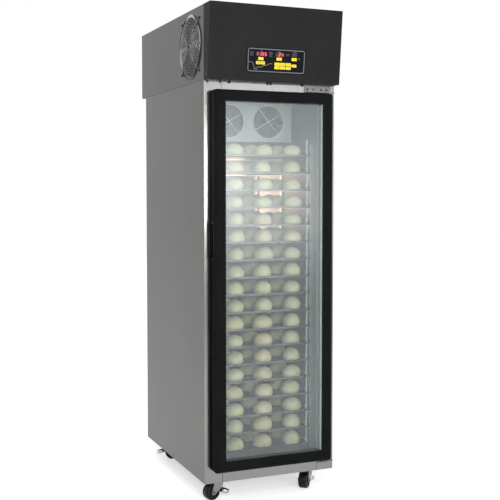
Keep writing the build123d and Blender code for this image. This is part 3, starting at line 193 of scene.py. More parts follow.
def pane_material():
    """Clear glass with a soft sheen and a trace of dust."""
    s = Shader("pane_glass")
    dust = s.add("ShaderNodeBsdfDiffuse")
    dust.inputs["Color"].default_value = (0.83, 0.88, 0.89, 1)
    clear = s.add("ShaderNodeBsdfTransparent")
    clear.inputs["Color"].default_value = (0.980, 0.988, 0.985, 1)
    shine = s.add("ShaderNodeBsdfGlossy")
    shine.inputs["Roughness"].default_value = 0.24
    shine.inputs["Color"].default_value = (0.90, 0.97, 1.0, 1)
    fresnel = s.add("ShaderNodeFresnel")
    fresnel.inputs["IOR"].default_value = 1.38
    dusting = s.spread(s.noise((3, 3, 1.6), 4.0), 0.004, 0.010)
    veil = s.blend(dusting, clear, dust)
    whole = s.blend(fresnel.outputs[0], veil, shine)
    s.tree.nodes.remove(s.bsdf)
    s.link(whole.outputs[0], s.out.inputs["Surface"])
    return s.mat


def dough_material():
    """Soft cream dough with a dusting of flour and a matte skin."""
    s = Shader("dough_skin")
    blotch = s.noise((26, 26, 30), 4.0)
    skin = s.noise((240, 240, 240), 4.0)
    colour = s.ramp(blotch, (0.30, (0.62, 0.56, 0.31)), (0.62, (0.75, 0.69, 0.45)))
    s.link(colour, s.bsdf.inputs["Base Color"])
    s.link(s.spread(skin, 0.50, 0.72), s.bsdf.inputs["Roughness"])
    s.bsdf.inputs["Subsurface Weight"].default_value = 0.15
    s.bsdf.inputs["Subsurface Radius"].default_value = (0.02, 0.016, 0.01)
    s.bsdf.inputs["Subsurface Scale"].default_value = 0.4
    s.bsdf.inputs["Sheen Weight"].default_value = 0.08
    s.bump(skin, 0.15, 0.0006)
    return s.mat


M = {
    # Three copies of one brushed stainless: the front frame's copy is painted lighter and the top
    # unit's copy painted darker than the side panels', standing in for how the light falls on each
    "steel": metal("brushed_stainless", (0.118, 0.119, 0.115), 0.36),
    "steel_top_shaded": metal("brushed_stainless_top_shaded", (0.096, 0.095, 0.093), 0.36, (4, 350, 350)),
    "steel_front_lit": metal("front_stainless_lit", (0.222, 0.215, 0.211), 0.185),
    "liner": metal("liner_steel", (0.42, 0.43, 0.425), 0.45, (60, 60, 3), metallic=0.45),
    "rack": metal("rack_steel", (0.48, 0.49, 0.49), 0.32, (40, 4, 40)),
    "tray": metal("tray_aluminium", (0.115, 0.122, 0.122), 0.40, (50, 6, 50)),
    "chrome": metal("plated_wire", (0.42, 0.43, 0.43), 0.20, (60, 60, 60), 0.05),
    "zinc": metal("zinc_plate", (0.215, 0.225, 0.220), 0.30, (45, 45, 45), 0.16),
    # Coil fins painted near-black: painted shade for the dark seen behind the fan guards
    "fins_painted_shade": metal("coil_fins_painted_shade", (0.05, 0.05, 0.05), 0.45, (20, 20, 200)),
    "hinge": metal("hinge_steel", (0.155, 0.150, 0.146), 0.28, (60, 60, 60), 0.08),
    "guard": metal("guard_wire", (0.20, 0.204, 0.208), 0.26, (60, 60, 60), 0.05),
    # Near-black guard rim: its dark paints the shadow line round the edge of the condenser guard
    "rim": metal("guard_rim", (0.055, 0.055, 0.056), 0.34, (60, 60, 60), 0.08),
    # Pale metal for painted highlights on the lip of the condenser opening
    "lip_highlight": metal("lip_painted_highlight", (0.46, 0.46, 0.46), 0.42, (60, 60, 60), 0.06),
    "nut": metal("nut_zinc", (0.13, 0.15, 0.16), 0.25, (45, 45, 45), 0.12),
    "dish": metal("pedal_zinc", (0.42, 0.455, 0.475), 0.22, (45, 45, 45), 0.12),
    "anthracite": plastic("anthracite_paint", (0.0165, 0.0165, 0.0172), 0.46, 1100,
                          0.08, 0.22, 0.14, 1.3),
    "pale_trim": plastic("pale_trim", (0.88, 0.91, 0.905), 0.42, 500, 0.06, 0.1, 0.3),
    "pale_paint": plastic("pale_enamel", (0.37, 0.39, 0.385), 0.38, 700, 0.04, 0.1, 0.2),
    "foam": plastic("foam", (0.66, 0.58, 0.36), 0.85, 300, 0.10, 0.5, 0.2),
    "motor": plastic("motor_enamel", (0.022, 0.022, 0.024), 0.38, 500),
    "fan": plastic("fan_plastic", (0.018, 0.018, 0.019), 0.5, 600),
    "fan_pale": plastic("fan_grey", (0.020, 0.021, 0.021), 0.5, 600),
    "display": plastic("display_gloss", (0.0085, 0.0085, 0.0125), 0.30, 900,
                       0.05, 0.0, 0.05, 1.3),
    "lens": plastic("digit_lens", (0.030, 0.012, 0.013), 0.16, 900, 0.05, 0.0, 0.25),
    "board": plastic("circuit_board", (0.02, 0.12, 0.045), 0.4, 300, 0.3),
    "key": plastic("key_yellow", (0.92, 0.66, 0.024), 0.40, 1200, 0.06, 0.05, 0.25),
    "groove": plastic("key_groove", (0.002, 0.002, 0.006), 0.5, 900, 0.1, 0.05, 0.1),
    "mark": plastic("mark_grey", (0.17, 0.175, 0.19), 0.5, 1500, 0.08, 0.05, 0.2),
    "mark_dark": plastic("mark_dark", (0.10, 0.075, 0.02), 0.5, 1500, 0.08, 0.05, 0.2),
    "door": plastic("door_black", (0.0088, 0.0098, 0.0100), 0.40, 1300, 0.10, 0.08, 0.05, 1.2),
    "handle": plastic("handle_black", (0.003, 0.003, 0.0035), 0.30, 1300, 0.10, 0.08, 0.1),
    "bead": plastic("bead_black", (0.008, 0.008, 0.009), 0.5, 900, 0.1, 0.1, 0.2),
    "seal": plastic("seal_grey", (0.05, 0.052, 0.053), 0.6, 500, 0.1, 0.1, 0.2),
    "screw": plastic("screw_black", (0.014, 0.014, 0.015), 0.32, 900, 0.1, 0.1, 0.3),
    "gland": plastic("gland_plastic", (0.03, 0.03, 0.03), 0.45, 900),
    "drain": plastic("drain_plastic", (0.42, 0.42, 0.41), 0.45, 700),
    "tyre": plastic("wheel_black", (0.0065, 0.0065, 0.0068), 0.36, 500, 0.16, 0.12, 0.16),
    # Pale plastic for painted highlights on the pane edges and the rack uprights
    "pale_highlight": plastic("pale_painted_highlight", (0.56, 0.59, 0.585), 0.40, 500, 0.05, 0.1, 0.3),
    "wire_pale": plastic("wire_enamel", (0.62, 0.64, 0.635), 0.36, 700, 0.04, 0.1, 0.3),
    "wire_painted_shade": plastic("wire_shaded", (0.085, 0.09, 0.09), 0.40, 700, 0.04, 0.1, 0.3),
    # Salmon pads for painted warm glints at the runner ends
    "warm_glint": plastic("runner_painted_glint", (0.95, 0.55, 0.42), 0.45, 500, 0.1, 0.1, 0.3),
    "gap": plastic("gap_dark", (0.012, 0.012, 0.012), 0.6, 500, 0.1, 0.1, 0.1),
    "pane": pane_material(),
    "dough": dough_material(),
    "red": glow("digit_red", (1.0, 0.035, 0.10), 1.5),
    "white": glow("lamp_white", (0.75, 0.80, 1.0), 1.3),
}

# Looks of the CAD nodes, by name or else by the kind that the name holds
LOOKS = {
    "side_panels": "steel", "rear_panel": "steel", "base_panel": "steel",
    "front_frame": "steel_front_lit", "foam_insulation": "foam", "inner_liner": "liner",
    "jamb_trim": "pale_trim", "tray_rack": "rack", "bakery_trays": "tray",
    "dough_balls": "dough", "evaporator_cover": "pale_paint",
    "evaporator_fan_guards": "chrome", "evaporator_coil": "fins_painted_shade", "fan_motors": "motor",
    "fan_side_panel": "steel_top_shaded", "top_housing": "steel_top_shaded", "condenser_fan_guard": "chrome",
    "condenser_coil": "fins_painted_shade", "compressor": "motor", "control_fascia": "anthracite",
    "display_panel": "display", "digit_displays": "lens", "control_board": "board",
    "hinge_brackets": "hinge", "dark_screws": "screw", "cable_gland": "gland",
    "drain_spigot": "drain", "caster_plates": "zinc", "door_frame": "door",
    "door_glass": "pane", "glazing_beads": "bead", "door_gasket": "seal",
    "door_handle": "handle", "evaporator_fan_left": "fan_pale",
    "evaporator_fan_right": "fan_pale",
}
KINDS = {"key": "key", "fork": "zinc", "pedal": "zinc", "wheel": "tyre", "fan": "fan"}
for name, node in nodes.items():
    look = LOOKS.get(name) or next(KINDS[kind] for kind in KINDS if kind in name)
    node.data.materials.clear()
    node.data.materials.append(M[look])


# Mesh forms
BOX_FACES = ((0, 1, 3, 2), (4, 6, 7, 5), (0, 4, 5, 1), (2, 3, 7, 6), (0, 2, 6, 4), (1, 5, 7, 3))


class Form:
    """Points and faces gathered into one new piece; sizes in metres."""

    def __init__(self):
        self.verts, self.faces = [], []

    def box(self, low, high):
        """A block from its low corner to its high corner."""
        start = len(self.verts)
        xs, ys, zs = zip(low, high)
        self.verts += [(x, y, z) for x in xs for y in ys for z in zs]
        self.faces += [tuple(start + k for k in quad) for quad in BOX_FACES]

    def ring(self, centre, radius, wire, axis="x", sides=96, profile=8):
        """A torus of wire about the X or Y axis."""
        start = len(self.verts)
        for i in range(sides):
            t = math.tau * i / sides
            for j in range(profile):
                p = math.tau * j / profile
                reach, lift = radius + wire * math.cos(p), wire * math.sin(p)
                offset = (lift, reach * math.cos(t), reach * math.sin(t))
                if axis == "y":
                    offset = (reach * math.cos(t), lift, reach * math.sin(t))
                self.verts.append(tuple(c + o for c, o in zip(centre, offset)))
        for i in range(sides):
            a, b = start + i * profile, start + (i + 1) % sides * profile
            for j in range(profile):
                k = (j + 1) % profile
                self.faces.append((a + j, b + j, b + k, a + k))

    def rod(self, a, b, wire, profile=8):
        """A straight wire from a to b, with closed ends."""
        a, b = Vector(a), Vector(b)
        along = (b - a).normalized()
        side = along.cross(Vector((0.31, 0.52, 0.79))).normalized()
        other = along.cross(side)
        start = len(self.verts)
        for end in (a, b):
            for j in range(profile):
                p = math.tau * j / profile
                self.verts.append(tuple(end + wire * (side * math.cos(p) + other * math.sin(p))))
        self.skin(start, profile, 2)
        self.faces.append(tuple(start + j for j in reversed(range(profile))))
        self.faces.append(tuple(start + profile + j for j in range(profile)))

    def skin(self, start, sides, loops, closed=False):
        """Faces between the loops of points that follow one another from start."""
        for loop in range(loops if closed else loops - 1):
            a, b = start + loop * sides, start + (loop + 1) % loops * sides
            for i in range(sides):
                j = (i + 1) % sides
                self.faces.append((a + i, a + j, b + j, b + i))

    def build(self, name, look, body, slot, smooth=False):
        """Makes the mesh object and lets it ride on a body."""
        mesh = bpy.data.meshes.new(name)
        mesh.from_pydata([tuple(v) for v in self.verts], [], self.faces)
        mesh.validate()
        shell = bmesh.new()
        shell.from_mesh(mesh)
        bmesh.ops.recalc_face_normals(shell, faces=shell.faces)
        shell.to_mesh(mesh)
        shell.free()
        if smooth:
            mesh.shade_smooth()
        piece = bpy.data.objects.new(name, mesh)
        bpy.context.scene.collection.objects.link(piece)
        mesh.materials.append(M[look])
        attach(piece, body)
        return piece


# Dough pieces: three across and five deep on each tray, alternate rows out of step
DOUGH_RADIUS, DOUGH_HEIGHT = 0.0440, 0.0610
DOUGH_SIDES, DOUGH_STEPS = 24, 13
DOUGH_COLUMNS = ((0.115, 0.254, 0.398), (0.100, 0.240, 0.384))
DOUGH_ROWS = [0.050 + 0.128 * row for row in range(5)]
TRAY_FLOOR = 0.0015

# Ranges that each piece of dough draws from, as shares of its radius or height
WIDTHS, HEIGHTS, STRETCHES, CUTS = (0.93, 1.03), (0.86, 1.0), (-0.05, 0.05), (0.42, 0.60)
LEANS_X, LEANS_Y, LEAN_POWER = (0.06, 0.20), (-0.06, 0.06), 1.2
SLIDES_X, SLIDES_Y = (-0.004, 0.004), (-0.003, 0.004)
LUMPS, FOOT_SPREAD, CROWN_SWAY = (0.016, 0.008, 0.004), 0.04, 0.03


def dough_piece(form, centre):
    """One soft ball, flat below, with its own size, lean and lumps."""
    radius = DOUGH_RADIUS * random.uniform(*WIDTHS)
    height = DOUGH_HEIGHT * random.uniform(*HEIGHTS)
    lean_x, lean_y = random.uniform(*LEANS_X), random.uniform(*LEANS_Y)
    phase = [random.uniform(0, math.tau) for _ in range(4)]
    stretch = random.uniform(*STRETCHES)
    cut = random.uniform(*CUTS)
    start = len(form.verts)
    for i in range(1, DOUGH_STEPS):
        polar = math.pi * i / DOUGH_STEPS
        z = (-math.cos(polar) + cut) / (1 + cut)
        level = max(z, 0.0)
        edge = math.sin(polar)
        for j in range(DOUGH_SIDES):
            turn = math.tau * j / DOUGH_SIDES
            lump = 1 + LUMPS[0] * math.sin(2 * turn + phase[0]) * edge
            lump += LUMPS[1] * math.sin(3 * turn + phase[1] + 2 * z)
            lump += LUMPS[2] * math.sin(5 * turn + phase[2] - 3 * z)
            spread = radius * edge * lump * (1 + FOOT_SPREAD * (1 - level))
            x = spread * math.cos(turn) * (1 + stretch) + lean_x * radius * level ** LEAN_POWER
            y = spread * math.sin(turn) * (1 - stretch) + lean_y * radius * level
            up = height * level * (1 + CROWN_SWAY * math.sin(turn + phase[3]) * edge)
            form.verts.append((centre[0] + x, centre[1] + y, centre[2] + up))
    loops = DOUGH_STEPS - 1
    form.skin(start, DOUGH_SIDES, loops)
    low, high = len(form.verts), len(form.verts) + 1
    top = (centre[0] + lean_x * radius, centre[1] + lean_y * radius, centre[2] + height)
    form.verts += [centre, top]
    last = start + (loops - 1) * DOUGH_SIDES
    for j in range(DOUGH_SIDES):
        k = (j + 1) % DOUGH_SIDES
        form.faces.append((start + k, start + j, low))
        form.faces.append((last + j, last + k, high))


dough = Form()
for tray_z in TRAY_LEVELS:
    for row, row_y in enumerate(DOUGH_ROWS):
        for column_x in DOUGH_COLUMNS[row % 2]:
            x = TRAY_LEFT + column_x + random.uniform(*SLIDES_X)
            y = TRAY_FRONT + row_y + random.uniform(*SLIDES_Y)
            dough_piece(dough, (x, y, tray_z + TRAY_FLOOR))
piece = dough.build("dough_pieces", "dough", "cabinet", "dough", True)
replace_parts(piece, "dough_balls")


# Display: lines, key grooves, lit digits, lamps and marks on the keys
def on_face(u, v, out):
    """Point on the display from its top left corner and out of the fascia, in mm."""
    across = Vector((u / 1000 - DISPLAY_W / 2, 0, 0))
    up = FACE_UP * (DISPLAY_V + DISPLAY_H / 2 - v / 1000)
    return FACE_ORIGIN + across + up + FACE_OUT * (out / 1000)


class Plate(Form):
    """Thin raised shapes on the display; sizes in mm."""

    def __init__(self, out, thick=0.25):
        super().__init__()
        self.depths = (out, out + thick)

    def polygon(self, points):
        """A flat prism over a convex outline."""
        n, start = len(points), len(self.verts)
        for depth in self.depths:
            self.verts += [on_face(u, v, depth) for u, v in points]
        self.skin(start, n, 2)
        self.faces.append(tuple(start + i for i in range(n)))
        self.faces.append(tuple(start + n + i for i in reversed(range(n))))

    def bar(self, u, v, width, height):
        w, h = width / 2, height / 2
        self.polygon([(u - w, v - h), (u + w, v - h), (u + w, v + h), (u - w, v + h)])

    def disc(self, u, v, radius, sides=16):
        turns = [math.tau * i / sides for i in range(sides)]
        self.polygon([(u + radius * math.cos(t), v + radius * math.sin(t)) for t in turns])

    def stroke(self, points, width, closed=False):
        """A line of even width along points, mitred at its bends."""
        n = len(points)
        left, right = [], []
        for i, (u, v) in enumerate(points):
            before = points[i - 1] if closed or i else points[i]
            after = points[(i + 1) % n] if closed or i < n - 1 else points[i]
            a = Vector((u - before[0], v - before[1]))
            b = Vector((after[0] - u, after[1] - v))
            a = a.normalized() if a.length else b.normalized()
            b = b.normalized() if b.length else a
            normal = Vector((-(a.y + b.y), a.x + b.x)).normalized()
            reach = width / 2 / max(0.5, normal.dot(Vector((-b.y, b.x))))
            left.append((u + normal.x * reach, v + normal.y * reach))
            right.append((u - normal.x * reach, v - normal.y * reach))
        start = len(self.verts)
        for depth in self.depths:
            for side in (left, right):
                self.verts += [on_face(u, v, depth) for u, v in side]
        for i in range(n if closed else n - 1):
            j = (i + 1) % n
            for p, q in ((0, 1), (3, 2), (2, 0), (1, 3)):
                quad = (p * n + i, p * n + j, q * n + j, q * n + i)
                self.faces.append(tuple(start + k for k in quad))
        if not closed:
            for i in (0, n - 1):
                self.faces.append(tuple(start + k * n + i for k in (0, 1, 3, 2)))


def rounded_outline(u0, v0, u1, v1, radius, steps=6):
    points = []
    corners = ((u1 - radius, v0 + radius, -90), (u1 - radius, v1 - radius, 0),
               (u0 + radius, v1 - radius, 90), (u0 + radius, v0 + radius, 180))
    for u, v, angle in corners:
        for i in range(steps + 1):
            t = math.radians(angle + 90 * i / steps)
            points.append((u + radius * math.cos(t), v + radius * math.sin(t)))
    return points


BORDER = rounded_outline(6.5, 6.0, 269.5, 100.0, 7.5)
CURVE = [(9, 62.5), (22, 62), (28, 66), (33, 78), (39, 89), (44, 89.5), (50, 84), (56, 80.5),
         (63, 82.5), (70, 81.5), (77, 76), (84, 73.5), (91, 74.5), (98, 70), (104, 66.5),
         (110, 65.5), (119, 66)]
UNDERLINE = [(30, 92), (52, 92)]
ARROWS = ((67, 12.5), (152, 12.0), (224, 10.5))
DASHES = ((145.5, 15.8), (158.5, 15.8), (215.5, 14.6), (232.5, 14.6))
WORD_BLOCKS, WORDS_IN_ROW, WORD_PITCH = ((17, 19, 4), (105, 19, 4), (185, 23, 2)), 3, 5.2
WORD_LENGTHS, WORD_H = (2.6, 4.2), 2.0
LONG_WORDS = ((245, 38, 10, 2.2), (245, 42, 8, 2.0))
BORDER_LINE, CURVE_LINE, THIN_LINE = 3.6, 2.6, 1.2

lines = Plate(PANEL_OUT)
lines.stroke(BORDER, BORDER_LINE, closed=True)
lines.stroke(CURVE, CURVE_LINE)
lines.stroke(UNDERLINE, THIN_LINE)
for u, v in ARROWS:
    lines.polygon([(u - 4, v + 4), (u, v - 1.5), (u + 4, v + 4)])
for u, v in DASHES:
    lines.bar(u, v, 5, 1.6)
for u, v, rows in WORD_BLOCKS:
    for row in range(rows):
        for word in range(WORDS_IN_ROW):
            width = random.uniform(*WORD_LENGTHS)
            lines.bar(u + WORD_PITCH * word, v + WORD_PITCH * row, width, WORD_H)
for word in LONG_WORDS:
    lines.bar(*word)
lines.build("display_lines", "mark", "cabinet", "display_black")

KEYS = ((64.7, 47.0), (150.0, 45.0), (221.0, 43.0), (53.0, 64.4), (74.2, 64.4), (141.5, 66.3),
        (168.0, 66.3), (194.5, 66.3), (141.5, 81.3), (168.0, 81.3), (194.5, 81.3), (222.5, 70.5))
KEY_H, KEY_W, NARROW_KEYS = 13.5, 25.0, {4: 20.0, 5: 20.0, 12: 21.0}
GROOVE_THICK, GROOVE_LINE, GROOVE_CORNER = 0.2, 1.5, 3.0
grooves = Plate(PANEL_OUT, GROOVE_THICK)
for number, (u, v) in enumerate(KEYS, start=1):
    w, h = NARROW_KEYS.get(number, KEY_W) / 2, KEY_H / 2
    outline = rounded_outline(u - w, v - h, u + w, v + h, GROOVE_CORNER)
    grooves.stroke(outline, GROOVE_LINE, closed=True)
grooves.build("key_grooves", "groove", "cabinet", "display_black")

SEGMENTS = {"0": "abcdef", "1": "bc", "2": "abged", "4": "fgbc", "5": "afgcd"}
DIGIT_W, DIGIT_H, DIGIT_LINE, DIGIT_SLANT = 7.4, 12.6, 2.6, 0.10
SEGMENT_INSET = 0.5


def digit(plate, char, u, v):
    """A seven segment digit with its centre at (u, v)."""
    x, y, t = DIGIT_W / 2, DIGIT_H / 2, DIGIT_LINE / 2
    strokes = {
        "a": ((-x, -y), (x, -y)), "g": ((-x, 0), (x, 0)), "d": ((-x, y), (x, y)),
        "f": ((-x, -y), (-x, 0)), "b": ((x, -y), (x, 0)),
        "e": ((-x, 0), (-x, y)), "c": ((x, 0), (x, y)),
    }
    for key in SEGMENTS[char]:
        (x0, y0), (x1, y1) = strokes[key]
        along = Vector((x1 - x0, y1 - y0)).normalized()
        side = Vector((-along.y, along.x))
        a = Vector((x0, y0)) + along * SEGMENT_INSET
        b = Vector((x1, y1)) - along * SEGMENT_INSET
        outline = [a, a + along * t + side * t, b - along * t + side * t, b,
                   b - along * t - side * t, a + along * t - side * t]
        plate.polygon([(u + p.x - DIGIT_SLANT * p.y, v + p.y) for p in outline])


SHOWN_DIGITS = (("1", 46.5, 27.5), ("1", 61.0, 27.5), ("0", 73.5, 27.5), ("5", 87.0, 27.5),
                ("2", 152.0, 26.5), ("4", 165.5, 26.5))
digits = Plate(DIGITS_OUT)
for char, u, v in SHOWN_DIGITS:
    digit(digits, char, u, v)
digits.build("lit_digits", "red", "cabinet", "digit_red")

LAMP_THICK = 0.9
for name, look, u, v, radius in (("lamp_red", "red", 155.0, 73.8, 2.2),
                                 ("lamp_white", "white", 209.6, 70.0, 2.0)):
    lamp = Plate(PANEL_OUT, LAMP_THICK)
    lamp.disc(u, v, radius)
    lamp.build(name, look, "cabinet", "digit_red")

UP_KEY, DOWN_KEY, SMALL_MARK_KEYS, MARK_THICK = 4, 5, (1, 2, 3), 0.15
for number, (u, v) in enumerate(KEYS, start=1):
    mark = Plate(KEYS_OUT, MARK_THICK)
    if number == UP_KEY:
        mark.polygon([(u - 3.4, v + 2.4), (u, v - 2.8), (u + 3.4, v + 2.4)])
    elif number == DOWN_KEY:
        mark.polygon([(u - 3.4, v - 2.4), (u, v + 2.8), (u + 3.4, v - 2.4)])
    elif number in SMALL_MARK_KEYS:
        mark.bar(u, v - 1.5, 3.2, 1.4)
        mark.bar(u, v + 1.5, 3.2, 1.4)
    else:
        mark.bar(u - 3, v, 5.0, 1.3)
        mark.bar(u + 4, v - 1.2, 4.0, 1.3)
        mark.bar(u + 2, v + 2.2, 6.0, 1.0)
    body = "key_%02d" % number
    mark.build("mark_" + body, "mark_dark", body, "key_yellow")


# Round wire guard over the condenser fan: rings, four spokes, rim, eyes and screws
def at_fan(out, reach, angle):
    """Point in front of the left side, by its distance and angle from the fan's axis."""
    t = math.radians(angle)
    return (LEFT - out, FAN_Y + reach * math.cos(t), FAN_Z + reach * math.sin(t))


GUARD_RINGS, GUARD_OUTER, GUARD_INNER, GUARD_WIRE = 19, 0.1275, 0.0110, 0.00125
GUARD_EDGE_OUT, GUARD_BULGE, GUARD_BULGE_RISE = 0.0030, 0.0072, 3.2
SPOKE_ANGLES, SPOKE_WIRE = (45, 135, 225, 315), 0.0016
SPOKE_PATH = ((0.0108, 0.012), (0.0108, 0.098), (0.0030, 0.139), (0.0022, 0.152))
RIM_OUT, RIM_RADIUS, RIM_WIRE = 0.0016, 0.1400, 0.0015
EYE_REACH, EYE_RADIUS, EYE_WIRE = 0.1575, 0.0052, 0.0014
SCREW_FOOT, SCREW_HEAD, SCREW_RADIUS = -0.0004, 0.0042, 0.0042

guard = Form()
for i in range(GUARD_RINGS):
    share = i / (GUARD_RINGS - 1)
    out = GUARD_EDGE_OUT + GUARD_BULGE * min(1.0, share * GUARD_BULGE_RISE)
    radius = GUARD_OUTER - (GUARD_OUTER - GUARD_INNER) * share
    guard.ring(at_fan(out, 0, 0), radius, GUARD_WIRE)
# The rim ring is near-black, painted shade for the shadow line round the guard's edge; its eyes
# and screws share that dark
rim = Form()
rim.ring(at_fan(RIM_OUT, 0, 0), RIM_RADIUS, RIM_WIRE)
for angle in SPOKE_ANGLES:
    path = [at_fan(out, reach, angle) for out, reach in SPOKE_PATH]
    for a, b in zip(path, path[1:]):
        guard.rod(a, b, SPOKE_WIRE)
    rim.ring(at_fan(RIM_OUT, EYE_REACH, angle), EYE_RADIUS, EYE_WIRE, sides=24)
    foot, head = at_fan(SCREW_FOOT, EYE_REACH, angle), at_fan(SCREW_HEAD, EYE_REACH, angle)
    rim.rod(foot, head, SCREW_RADIUS, 16)
piece = guard.build("condenser_guard_wires", "guard", "cabinet", "guard_wire", True)
rim.build("condenser_guard_rim", "rim", "cabinet", "guard_wire")
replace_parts(piece, "condenser_fan_guard")

# Painted highlights on the lip of the round opening: three pale crescents, widest in their
# middles, where the lip catches the light
LIP_OUT, LIP_THICK, LIP_LEAST, LIP_STEPS = 0.0024, 0.0006, 0.0004, 20
CRESCENTS = ((62, 128, 0.1285, 0.0125), (140, 196, 0.1285, 0.0075), (-48, 12, 0.1290, 0.0100))
lip_highlights = Form()
for first, last, inner, width in CRESCENTS:
    start = len(lip_highlights.verts)
    for i in range(LIP_STEPS + 1):
        angle = first + (last - first) * i / LIP_STEPS
        swell = width * math.sin(math.pi * i / LIP_STEPS) + LIP_LEAST
        for out in (LIP_OUT, LIP_OUT + LIP_THICK):
            for reach in (inner, inner + swell):
                lip_highlights.verts.append(at_fan(out, reach, angle))
    for i in range(LIP_STEPS):
        a, b = start + 4 * i, start + 4 * i + 4
        for p, q in ((0, 1), (1, 3), (3, 2), (2, 0)):
            lip_highlights.faces.append((a + p, a + q, b + q, b + p))
    for i in (0, LIP_STEPS):
        lip_highlights.faces.append(tuple(start + 4 * i + k for k in (0, 1, 3, 2)))
lip_highlights.build("condenser_lip_painted_highlights", "lip_highlight", "cabinet", "guard_wire")

# Wire guards over the evaporator fans: rings in a darker copy of the wire, painted shade, behind a
# pale rim and spokes
EVAP_RINGS, EVAP_INNER, EVAP_PITCH, EVAP_WIRE = 8, 0.0120, 0.0081, 0.0014
EVAP_RIM, EVAP_RIM_WIRE, EVAP_SPOKE, EVAP_SPOKE_WIRE = 0.0765, 0.0015, 0.0775, 0.0020
RINGS_Y, RIM_Y, SPOKES_Y = EVAP_FRONT_Y - 0.0022, EVAP_FRONT_Y - 0.0016, EVAP_FRONT_Y - 0.0040
rings, spokes = Form(), Form()
for fan_x in EVAP_FAN_XS:
    for i in range(EVAP_RINGS):
        radius = EVAP_INNER + EVAP_PITCH * i
        rings.ring((fan_x, RINGS_Y, EVAP_FAN_Z), radius, EVAP_WIRE, "y", 64, 6)
    spokes.ring((fan_x, RIM_Y, EVAP_FAN_Z), EVAP_RIM, EVAP_RIM_WIRE, "y", 64, 8)
    for angle in (30, 130):
        t = math.radians(angle)
        dx, dz = EVAP_SPOKE * math.cos(t), EVAP_SPOKE * math.sin(t)
        a = (fan_x - dx, SPOKES_Y, EVAP_FAN_Z - dz)
        b = (fan_x + dx, SPOKES_Y, EVAP_FAN_Z + dz)
        spokes.rod(a, b, EVAP_SPOKE_WIRE)
piece = rings.build("evaporator_guard_wires", "wire_painted_shade", "cabinet", "guard_wire", True)
spokes.build("evaporator_guard_spokes", "wire_pale", "cabinet", "guard_wire", True)
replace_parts(piece, "evaporator_fan_guards")

# Brake pedals: a tilted oval dish on four arm wires, with a knuckle and its pin
KINGPINS = {"front_left": (-0.229, -0.361, 12.0), "front_right": (0.211, -0.361, 46.0),
            "rear_left": (-0.229, 0.321, 127.0), "rear_right": (0.211, 0.321, 20.0)}
DISH_PROFILE = ((0.70, -0.0140), (0.90, -0.0125), (1.0, -0.0060), (1.0, 0.0020), (0.96, 0.0042),
                (0.88, 0.0034), (0.76, -0.0020), (0.50, -0.0050), (0.22, -0.0058))
DISH_SIDES, DISH_LONG, DISH_WIDE, DISH_TILT = 40, 0.0235, 0.0275, math.radians(18)
DISH_ALONG, DISH_Z = 0.0415, 0.0330
PIVOT_ALONG, PIVOT_Z, ARM_ALONG, ARM_Z = 0.014, 0.062, 0.0235, 0.0350
ARM_ROWS, ARM_WIRE = (-0.0065, -0.0022, 0.0022, 0.0065), 0.0024
KNUCKLE_HALF, KNUCKLE_RADIUS, PIN_HALF, PIN_RADIUS = 0.0080, 0.0046, 0.0253, 0.0030
AXLE_ALONG, AXLE_Z = -0.025, 0.036
NUT_STEPS = ((0.0236, 0.0282, 0.0062, 6), (0.0282, 0.0306, 0.0036, 12))


def pedal_and_nuts(name, x, y, angle):
    """The pedal of one castor and the nuts on its axle, turned about its kingpin."""
    turn = math.radians(angle)

    def place(along, across, up):
        return Vector((x + along * math.cos(turn) - across * math.sin(turn),
                       y + along * math.sin(turn) + across * math.cos(turn), up))

    pedal = Form()
    for share, rise in DISH_PROFILE:
        for i in range(DISH_SIDES):
            t = math.tau * i / DISH_SIDES
            u, across = DISH_LONG * share * math.cos(t), DISH_WIDE * share * math.sin(t)
            along = DISH_ALONG + u * math.cos(DISH_TILT) + rise * math.sin(DISH_TILT)
            up = DISH_Z - u * math.sin(DISH_TILT) + rise * math.cos(DISH_TILT)
            pedal.verts.append(place(along, across, up))
    loops = len(DISH_PROFILE)
    pedal.skin(0, DISH_SIDES, loops)
    pedal.faces.append(tuple(reversed(range(DISH_SIDES))))
    pedal.faces.append(tuple((loops - 1) * DISH_SIDES + i for i in range(DISH_SIDES)))
    for across in ARM_ROWS:
        pivot, end = place(PIVOT_ALONG, across, PIVOT_Z), place(ARM_ALONG, across, ARM_Z)
        pedal.rod(pivot, end, ARM_WIRE)
    for half, radius, sides in ((KNUCKLE_HALF, KNUCKLE_RADIUS, 20), (PIN_HALF, PIN_RADIUS, 16)):
        ends = [place(PIVOT_ALONG, way * half, PIVOT_Z) for way in (-1, 1)]
        pedal.rod(*ends, radius, sides)
    body = "caster_pedal_" + name
    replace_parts(pedal.build("pedal_dish_" + name, "dish", body, "zinc", True), body)
    nuts = Form()
    for low, high, radius, sides in NUT_STEPS:
        for way in (-1, 1):
            ends = [place(AXLE_ALONG, way * across, AXLE_Z) for across in (low, high)]
            nuts.rod(*ends, radius, sides)
    nuts.build("axle_nuts_" + name, "nut", "caster_fork_" + name, "zinc")


for name, (x, y, angle) in KINGPINS.items():
    pedal_and_nuts(name, x, y, angle)

# A near-black sheet over the condenser coil, painted shade behind the fan guard, and the dark
# shroud between it and the fan's opening
SHADE_SHEET_LOW, SHADE_SHEET_HIGH = (-0.1958, -0.397, 1.8235), (-0.1946, -0.107, 2.1135)
coil_shade_sheet = Form()
coil_shade_sheet.box(SHADE_SHEET_LOW, SHADE_SHEET_HIGH)
coil_shade_sheet.build("condenser_coil_shade_sheet", "gap", "cabinet", "coil_aluminium")

